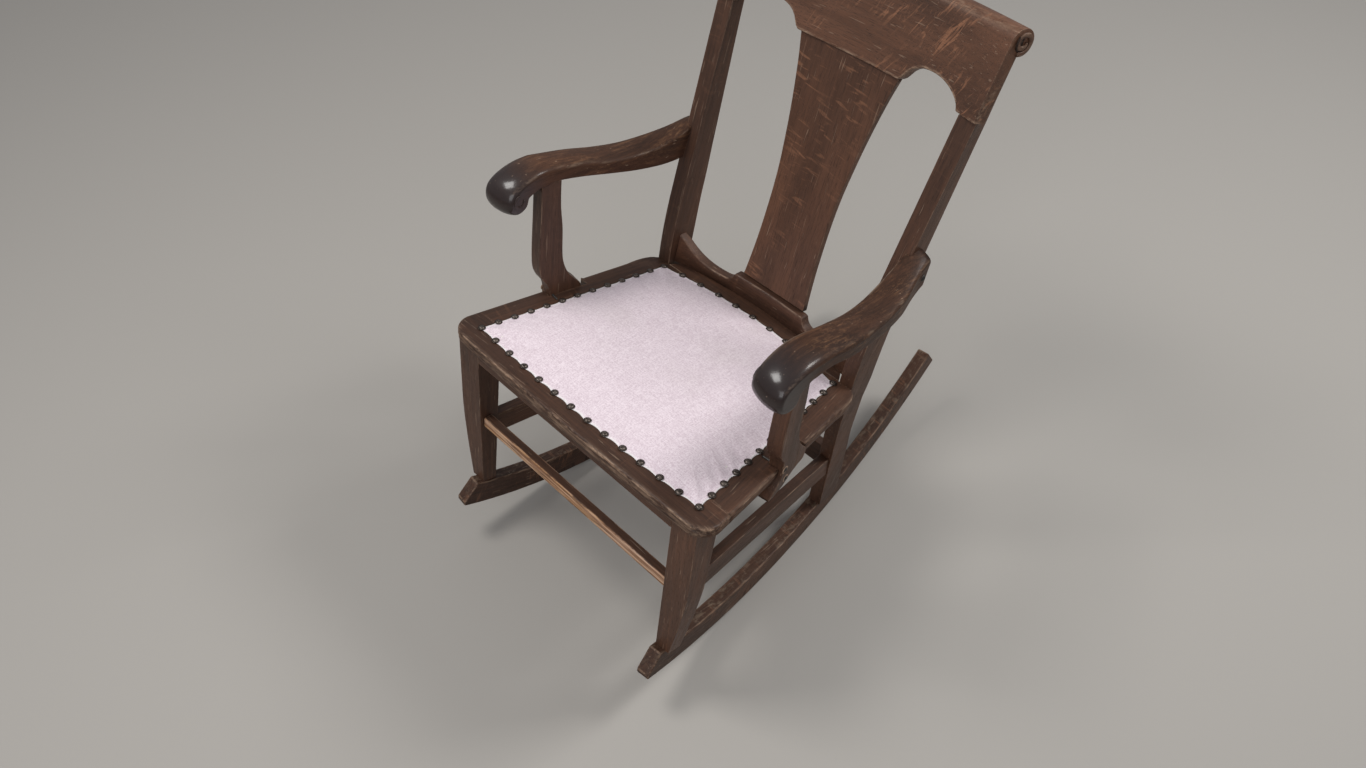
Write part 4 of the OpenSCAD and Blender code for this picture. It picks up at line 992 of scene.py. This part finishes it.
# The pad: steps between nails along its edge, how far it reaches past them and is drawn in between them, the
# height of its underside and of its edge, and its crown as (share of the way in, share of the height)
PAD_STEPS, PAD_OUT, PAD_DRAWN, PAD_LOW, PAD_EDGE = 8, 4.0, 4.4, 0.05, 1.15
PAD_MIDDLE = Vector((0, NAIL_D / 2))
PAD_RINGS = [(0.0, 0.0), (0.012, 0.015), (0.03, 0.06), (0.05, 0.17), (0.075, 0.32), (0.11, 0.48),
             (0.17, 0.66), (0.26, 0.81), (0.4, 0.93), (0.58, 0.985), (0.78, 1.0)]


def pad_outline():
    """The cover's edge: out beyond the nails, and drawn in between them"""
    nails = nail_places()
    edge = []
    for a, b in zip(nails, nails[1:] + nails[:1]):
        waver = 1 + 0.35 * noise.noise(Vector((a[0] * 0.37, a[1] * 0.29, 4.0)))
        for t in (i / PAD_STEPS for i in range(PAD_STEPS)):
            p = Vector(a) * (1 - t) + Vector(b) * t
            drawn = PAD_DRAWN * waver * math.sin(math.pi * t) ** 0.8 - PAD_OUT
            drawn += 0.45 * noise.noise(Vector((p.x * 0.11, p.y * 0.11, 4.0)))
            edge.append(p + (PAD_MIDDLE - p).normalized() * drawn)
    return edge


def near_edge(x, y, nails):
    """Distance from the row of nails, and how near a nail that is: 1 at a nail and 0 between two"""
    best, place = 1e9, 0.0
    for a, b in zip(nails, nails[1:] + nails[:1]):
        dx, dy = b[0] - a[0], b[1] - a[1]
        t = max(0.0, min(1.0, ((x - a[0]) * dx + (y - a[1]) * dy) / (dx * dx + dy * dy)))
        d = math.hypot(x - a[0] - dx * t, y - a[1] - dy * t)
        if d < best:
            best, place = d, t
    return best, (1 + math.cos(2 * math.pi * place)) / 2


def pad_mesh(edge, crown):
    """A closed pad that is flat underneath and crowned on top"""
    rings = [[Vector((*p, PAD_LOW)) for p in edge]]
    for share, height in PAD_RINGS:
        z = PAD_EDGE + (crown - PAD_EDGE) * height
        rings.append([Vector((*(p + (PAD_MIDDLE - p) * share), z)) for p in edge])
    bm = loft(rings, caps=False)
    bm.verts.ensure_lookup_table()
    n = len(edge)
    first, last = [bm.verts[i] for i in range(n)], [bm.verts[len(PAD_RINGS) * n + i] for i in range(n)]
    top = bm.verts.new((*PAD_MIDDLE, crown))
    low = bm.verts.new((*PAD_MIDDLE, PAD_LOW))
    for i in range(n):
        bm.faces.new((top, last[i], last[(i + 1) % n]))
        bm.faces.new((low, first[(i + 1) % n], first[i]))
    bmesh.ops.recalc_face_normals(bm, faces=bm.faces)
    return bm


def seat_pad(sizes, cloth):
    """The cover: a crowned pad that is raised as a cloth simulation says and pulled in by its nails"""
    edge, nails = pad_outline(), nail_places()
    bm = pad_mesh(edge, sizes.crown * 1000)
    pad = new_piece("seat_cover_cloth", bm, cloth, ["seat_cover"])
    raised = stuffed(pad, nails, 0.0055)
    up = (SEAT.to_3x3() @ Vector(UP)).normalized()
    under = 0.6
    for v in pad.data.vertices:
        s = SEAT_BACK @ v.co
        if s.z <= under:
            continue
        d, dip = near_edge(s.x, s.y, nails)
        if raised:
            hit = raised.ray_cast(Vector((s.x, s.y, 60)), Vector((0, 0, -1)))[0]
            if hit:
                v.co += up * (0.001 * (hit.z - s.z) * along_table([(4, 0), (18, 1)], d))
        fall = -sizes.pucker * dip ** 1.5 * math.exp(-d / 9.0)
        fall -= 0.00035 * (2 * dip - 1) * math.exp(-((d - 16) / 14.0) ** 2)
        fall += 0.0007 * noise.noise(Vector((s.x * 0.018, s.y * 0.018, 2.2)))
        fall += 0.00025 * noise.noise(Vector((s.x * 0.07, s.y * 0.07, 5.2)))
        v.co += up * max(fall, -(s.z - under) * 0.001)
    pad.data.update()
    rim = kdtree.KDTree(len(edge))
    for i, p in enumerate(edge):
        rim.insert((*p, 0.9), i)
    rim.balance()
    lay_grain(pad, WIDE, DEEP, 0)
    mark(pad, "fray", lambda s, n: 1.5 - rim.find(s)[2] / 2.0)


def stuffed(cover, nails, most):
    """The cover's shape in the seat's frame once a copy of it is blown up a little with Blender's cloth"""
    scene = bpy.context.scene
    pad = bpy.data.objects.new("stuffed", cover.data.copy())
    scene.collection.objects.link(pad)
    bpy.context.view_layer.objects.active = pad
    for other in bpy.context.selected_objects:
        other.select_set(False)
    pad.select_set(True)
    pad.data.remesh_voxel_size = 0.0048
    pad.data.use_remesh_preserve_volume = True
    bpy.ops.object.voxel_remesh()
    start = [v.co.copy() for v in pad.data.vertices]
    group = pad.vertex_groups.new(name="held")
    for v in pad.data.vertices:
        s = SEAT_BACK @ v.co
        d, dip = near_edge(s.x, s.y, nails)
        hold = 1.0 if s.z < 1.5 else max(0.0, 1 - d / (7 + 7 * dip))
        if hold > 0:
            group.add([v.index], hold, "REPLACE")
    cloth = pad.modifiers.new("Stuffing", "CLOTH")
    for key, value in (("vertex_group_mass", "held"), ("use_pressure", True), ("uniform_pressure_force", 4.0),
                       ("tension_stiffness", 12), ("bending_stiffness", 0.8), ("mass", 0.35), ("quality", 6)):
        setattr(cloth.settings, key, value)
    cloth.settings.effector_weights.gravity = 0.0
    cloth.point_cache.frame_start, cloth.point_cache.frame_end = 1, 20
    for f in range(1, 21):
        scene.frame_set(f)
    bpy.ops.object.modifier_apply(modifier="Stuffing")
    scene.frame_set(1)
    for v, p in zip(pad.data.vertices, start):
        move = v.co - p
        if move.length > most:
            v.co = p + move.normalized() * most
    shape = BVHTree.FromPolygons([SEAT_BACK @ v.co for v in pad.data.vertices],
                                 [tuple(f.vertices) for f in pad.data.polygons])
    mesh = pad.data
    bpy.data.objects.remove(pad)
    bpy.data.meshes.remove(mesh)
    return shape


# The webbing: width of a strip, gap, lap on the boards, height, rise over a crossing and its reach
WEB_W, WEB_GAP, WEB_LAP, WEB_Z, WEB_RISE, WEB_REACH = 48.0, 22.0, 9, 1.1, 0.55, 35.0


def webbing(material):
    """Two layers of webbing, woven over and under each other across the opening"""
    xs = [(i - 1.5) * (WEB_W + WEB_GAP) for i in range(4)]
    ys = [FRONT_IN + WEB_GAP / 2 + i * (WEB_W + WEB_GAP) + WEB_W / 2 for i in range(4)]
    long_parts, cross_parts = [], []
    for i, (x, y) in enumerate(zip(xs, ys)):
        long_parts.append(strip([(x, FRONT_IN - WEB_LAP + k * 4) for k in range(80)], ys, i % 2, "y"))
        half = side_x(y + WEB_W / 2) - SIDE_BOARD_W + WEB_LAP
        cross_parts.append(strip([(-half + k * half / 48, y) for k in range(97)], xs, (i + 1) % 2, "x"))
    for name, parts, length in (("webbing_long", long_parts, 316.0), ("webbing_cross", cross_parts, 372.0)):
        area = sum(f.calc_area() for bm in parts for f in bm.faces) * 1e-6
        piece = new_piece(name, join(parts), material, ["seat_webbing"])
        lay_grain(piece, DEEP, WIDE, 0)
        area / (length / 1000)


def strip(path, crossings, odd, axis):
    """A strip of webbing along path, over and under in turn where it crosses others"""
    bm = bmesh.new()
    rows = []
    for x, y in path:
        along = y if axis == "y" else x
        near = min(crossings, key=lambda c: abs(c - along))
        off = abs(near - along)
        rise = math.cos(off / WEB_REACH * math.pi / 2) if off < WEB_REACH else 0
        z = WEB_Z + WEB_RISE * rise * (1 if (crossings.index(near) + odd) % 2 else -1)
        aside = [(j / 6 - 0.5) * WEB_W for j in range(7)]
        rows.append([bm.verts.new((x + o, y, z) if axis == "y" else (x, y + o, z)) for o in aside])
    for a, b in zip(rows, rows[1:]):
        for j in range(6):
            bm.faces.new((a[j], a[j + 1], b[j + 1], b[j]))
    bmesh.ops.recalc_face_normals(bm, faces=bm.faces)
    return bm


def under_layers(hessian, cotton):
    """Burlap over the webbing, and the felt under the cover"""
    nails = nail_places()
    burlap_in, burlap_z = 13.5, 2.35

    def inner(p, d):
        p = Vector(p)
        return p + (PAD_MIDDLE - p).normalized() * d

    bm = bmesh.new()
    rows = []
    for share in (0, 0.08, 0.2, 0.35, 0.5, 0.65, 0.8, 0.92):
        row = []
        for p in nails:
            q = inner(p, burlap_in)
            q = q + (PAD_MIDDLE - q) * share
            sag = 0.25 * noise.noise(Vector((q.x * 0.05, q.y * 0.05, 0.4)))
            row.append(bm.verts.new((*q, burlap_z + sag)))
        rows.append(row)
    centre = bm.verts.new((*PAD_MIDDLE, burlap_z))
    n = len(nails)
    for a, b in zip(rows, rows[1:]):
        for i in range(n):
            bm.faces.new((a[i], a[(i + 1) % n], b[(i + 1) % n], b[i]))
    for i in range(n):
        bm.faces.new((rows[-1][i], rows[-1][(i + 1) % n], centre))
    area = sum(f.calc_area() for f in bm.faces) * 1e-6
    piece = new_piece("burlap_sheet", bm, hessian, ["seat_burlap"])
    lay_grain(piece, WIDE, DEEP, 0)
    rings = [[Vector((*inner(p, d), z)) for p in nails]
             for d, z in ((18.0, 2.9), (17.0, 3.2), (17.5, 3.6), (22.0, 4.5), (34.0, 5.8), (54.0, 7.0))]
    piece = new_piece("felt_layer", split_caps(loft(rings)), cotton, ["seat_stuffing"])
    lay_grain(piece, WIDE, DEEP, 0)


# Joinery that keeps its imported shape, with the directions of its grain along and across
JOINERY = (("front_leg_left", UP, WIDE), ("front_leg_right", UP, WIDE),
           ("back_post_left", (-0.05, math.sin(RAKE), 1), WIDE),
           ("back_post_right", (0.05, math.sin(RAKE), 1), WIDE),
           ("back_stretcher", WIDE, UP), ("side_stretcher_left", (0.07, 1, 0), UP),
           ("side_stretcher_right", (-0.07, 1, 0), UP), ("front_apron", WIDE, UP),
           ("side_rail_left", (0.14, 1, 0), UP), ("side_rail_right", (-0.14, 1, 0), UP),
           ("corner_blocks", (1, -1, 0), UP))


def frame_joinery(arris, oak, hidden):
    """Legs, posts, stretchers and rails with rubbed arrises"""
    for k, (node, along, across) in enumerate(JOINERY):
        slot, material = ("hidden_oak", hidden) if "rail" in node or "block" in node else ("frame_oak", oak)
        width = arris if "stretcher" in node or "leg" in node else arris * 0.8
        lay_grain(eased_copy(node, material, width), along, across, 30 + k)


class Step:
    """What the operators share: each builds its pieces with the scene's colours and sizes"""

    def execute(self, context):
        self.build(context.scene.chair_colours, context.scene.chair_sizes)
        return {"FINISHED"}


class CHAIR_OT_joinery(Step, bpy.types.Operator):
    """Legs, posts, stretchers, rails and apron"""
    bl_idname = "chair.joinery"
    bl_label = "Joinery"

    def build(self, tones, sizes):
        oak = oak_finish("frame_oak", tones, figure=0.12, wear=0.5, gloss=0.42, warmth=1.25, streaky=0.7)
        hidden = oak_finish("hidden_oak", tones, wear=0.4, gloss=0.55, warmth=0.8)
        frame_joinery(sizes.arris, oak, hidden)


class CHAIR_OT_worn_stretcher(Step, bpy.types.Operator):
    """Front stretcher, rubbed bare by feet"""
    bl_idname = "chair.worn_stretcher"
    bl_label = "Worn front stretcher"

    def build(self, tones, sizes):
        worn = oak_finish("worn_oak", tones, wear=1.1, raw=1.0, gloss=0.5)
        piece = eased_copy("front_stretcher", worn, sizes.worn_arris)
        lay_grain(piece, WIDE, UP, 3)
        mark(piece, "scuffed", lambda s, n: (-n.y - 0.5) * 2.4)


class CHAIR_OT_runners(Step, bpy.types.Operator):
    """The two bent runners"""
    bl_idname = "chair.runners"
    bl_label = "Runners"

    def build(self, tones, sizes):
        oak = oak_finish("runner_oak", tones, figure=0.5, wear=0.6, dust=0.35, gloss=0.5, warmth=1.1)
        cy, cz = RUNNER_CENTRE
        for k, side in enumerate(("left", "right")):
            piece = eased_copy("runner_" + side, oak, sizes.worn_arris)
            lay_grain(piece, seed=50 + k, place=lambda s: (
                RUNNER_R * math.atan2(s.y - cy, cz - s.z), math.hypot(s.y - cy, s.z - cz), s.x))


class CHAIR_OT_seat_boards(Step, bpy.types.Operator):
    """The four boards of the seat with their moulded edge"""
    bl_idname = "chair.seat_boards"
    bl_label = "Seat boards"

    def build(self, tones, sizes):
        seat_boards(oak_finish("seat_oak", tones, figure=0.25, wear=1.3, gloss=0.5, warmth=0.92))


class CHAIR_OT_back(Step, bpy.types.Operator):
    """Crest, splat and lower rail"""
    bl_idname = "chair.back"
    bl_label = "Crest, splat and lower rail"

    def build(self, tones, sizes):
        # The second, near-black finish is painted shade for the discs behind the crest's curls
        crest(oak_finish("quartered_oak", tones, figure=0.8, long_rays=True, wear=1.1, gloss=0.40, warmth=1.9,
                         streaky=0.4),
              oak_finish("painted_shade_oak", tones, wear=0.1, gloss=0.6, warmth=0.2))
        splat(oak_finish("splat_oak", tones, figure=0.6, wear=0.4, gloss=0.40, warmth=1.55, streaky=0.35))
        lower_rail(oak_finish("rail_oak", tones, figure=0.15, wear=0.9, warmth=1.5, streaky=0.7))


class CHAIR_OT_arms(Step, bpy.types.Operator):
    """Scrolled arms and their S-shaped supports"""
    bl_idname = "chair.arms"
    bl_label = "Arms and supports"

    def build(self, tones, sizes):
        glossy = hand_worn_oak("arm_oak", tones)
        oak = oak_finish("support_oak", tones, figure=0.1, wear=0.4, warmth=1.35, streaky=0.6)
        for side, mirror in SIDES:
            arm(side, mirror, glossy)
            arm_support(side, mirror, oak)


class CHAIR_OT_metalwork(Step, bpy.types.Operator):
    """Cover nails and screws"""
    bl_idname = "chair.metalwork"
    bl_label = "Nails and screws"

    def build(self, tones, sizes):
        cover_nails(dark_metal("antique_nail", tones.bronze, (0.27, 0.23, 0.20), 0.8, 0.42))
        iron = dark_metal("blackened_iron", (0.05, 0.045, 0.042), (0.3, 0.28, 0.26), 0.4, 0.5)
        side_screws(iron, oak_finish("rim_oak", tones, wear=1.6))
        steel = dark_metal("steel_screw", (0.35, 0.34, 0.33), (0.6, 0.6, 0.6), 0.4, 0.4)
        for node, metal in (("crest_screws", iron), ("runner_screws", steel), ("corner_block_screws", steel)):
            NODES[node].data.materials.clear()
            NODES[node].data.materials.append(metal)


class CHAIR_OT_upholstery(Step, bpy.types.Operator):
    """Cover, felt, burlap and webbing"""
    bl_idname = "chair.upholstery"
    bl_label = "Upholstery"

    def build(self, tones, sizes):
        webbing(jute("jute_webbing", (0.42, 0.31, 0.18), 0.0022))
        under_layers(jute("jute_cloth", (0.36, 0.27, 0.16), 0.0018), felt("cotton_felt"))
        seat_pad(sizes, cover_cloth("cover_cloth", tones))


# Name, place, size, power and colour of each lamp
LAMPS = (("left", (-0.9, -0.85, 2.7), 0.8, 28, (1.0, 0.985, 0.96)),
         ("fill", (0.9, -2.3, 2.0), 1.5, 22, (0.98, 0.985, 1.0)),
         ("key", (1.1, 1.7, 2.6), 0.8, 43, (1.0, 1.0, 0.99)))
ROOM_COLOUR, ROOM_STRENGTH = (0.94, 0.96, 1.0, 1), 0.36
# The camera in the seat's frame: its place, the way it looks and how far it leans, in degrees, and its lens
CAMERA_SPOT = (818.4, -793.4, 1066.5)
CAMERA_ROUND, CAMERA_UP, CAMERA_LEAN = 39.151, 41.039, 9.018
SENSOR = 36.0
LENS = 1100.0 / 1366.0 * SENSOR


def camera_axes():
    """The camera's right, up and back, as the columns of a matrix"""
    round_z, rise, lean = (math.radians(v) for v in (CAMERA_ROUND, CAMERA_UP, CAMERA_LEAN))
    back = Vector((math.sin(round_z) * math.cos(rise), -math.cos(round_z) * math.cos(rise), math.sin(rise)))
    right = (-back).cross(Vector(UP)).normalized()
    up = right.cross(-back)
    x = right * math.cos(lean) + up * math.sin(lean)
    y = up * math.cos(lean) - right * math.sin(lean)
    turn = Matrix.Rotation(-SLOPE, 3, "X")
    return Matrix((turn @ x, turn @ y, turn @ back)).transposed()


class CHAIR_OT_stage(bpy.types.Operator):
    """Plain floor, soft light and the camera"""
    bl_idname = "chair.stage"
    bl_label = "Stage"

    def execute(self, context):
        scene = context.scene
        scene.view_settings.view_transform = "Standard"
        bpy.ops.mesh.primitive_plane_add(size=60, location=(0, 0, 0))
        floor = context.object
        floor.name = "floor"
        p = Paint("floor", Specular_IOR_Level=0.2, Roughness=0.85)
        p.shader.inputs["Base Color"].default_value = (*scene.chair_colours.floor, 1)
        floor.data.materials.append(p.material)
        world = bpy.data.worlds.new("room")
        scene.world = world
        world.use_nodes = True
        light = world.node_tree.nodes["Background"].inputs
        light["Color"].default_value, light["Strength"].default_value = ROOM_COLOUR, ROOM_STRENGTH
        for name, spot, size, power, colour in LAMPS:
            lamp = bpy.data.lights.new(name, "AREA")
            lamp.size, lamp.energy, lamp.color = size, power, colour
            holder = bpy.data.objects.new(name, lamp)
            scene.collection.objects.link(holder)
            holder.location = spot
            holder.rotation_euler = (Vector((0, 0, 0.4)) - Vector(spot)).to_track_quat("-Z", "Y").to_euler()
        camera = bpy.data.cameras.new("camera")
        camera.lens, camera.sensor_width, camera.sensor_fit = LENS, SENSOR, "HORIZONTAL"
        camera.clip_start, camera.clip_end = 0.05, 100
        holder = bpy.data.objects.new("camera", camera)
        scene.collection.objects.link(holder)
        holder.matrix_world = Matrix.Translation(SEAT @ Vector(CAMERA_SPOT)) @ camera_axes().to_4x4()
        scene.camera = holder
        return {"FINISHED"}


OPERATORS = (CHAIR_OT_stage, CHAIR_OT_joinery, CHAIR_OT_worn_stretcher, CHAIR_OT_runners,
             CHAIR_OT_seat_boards, CHAIR_OT_back, CHAIR_OT_arms, CHAIR_OT_metalwork, CHAIR_OT_upholstery)


class CHAIR_PT_panel(bpy.types.Panel):
    """Lists the chair's sizes, colours and pieces"""
    bl_idname = "CHAIR_PT_panel"
    bl_label = "Rocking chair"
    bl_space_type = "VIEW_3D"
    bl_region_type = "UI"
    bl_category = "Rocker"

    def draw(self, context):
        for group in (context.scene.chair_sizes, context.scene.chair_colours):
            for key in group.__annotations__:
                self.layout.prop(group, key)
        for operator in OPERATORS:
            self.layout.operator(operator.bl_idname)


CLASSES = (ChairSizes, ChairColours, *OPERATORS, CHAIR_PT_panel)


def register():
    for cls in CLASSES:
        bpy.utils.register_class(cls)
    bpy.types.Scene.chair_sizes = PointerProperty(type=ChairSizes)
    bpy.types.Scene.chair_colours = PointerProperty(type=ChairColours)


def unregister():
    del bpy.types.Scene.chair_sizes
    del bpy.types.Scene.chair_colours
    for cls in reversed(CLASSES):
        bpy.utils.unregister_class(cls)


def main():
    register()
    for operator in OPERATORS:
        group, name = operator.bl_idname.split(".")
        getattr(getattr(bpy.ops, group), name)()


if __name__ == "__main__":
    main()
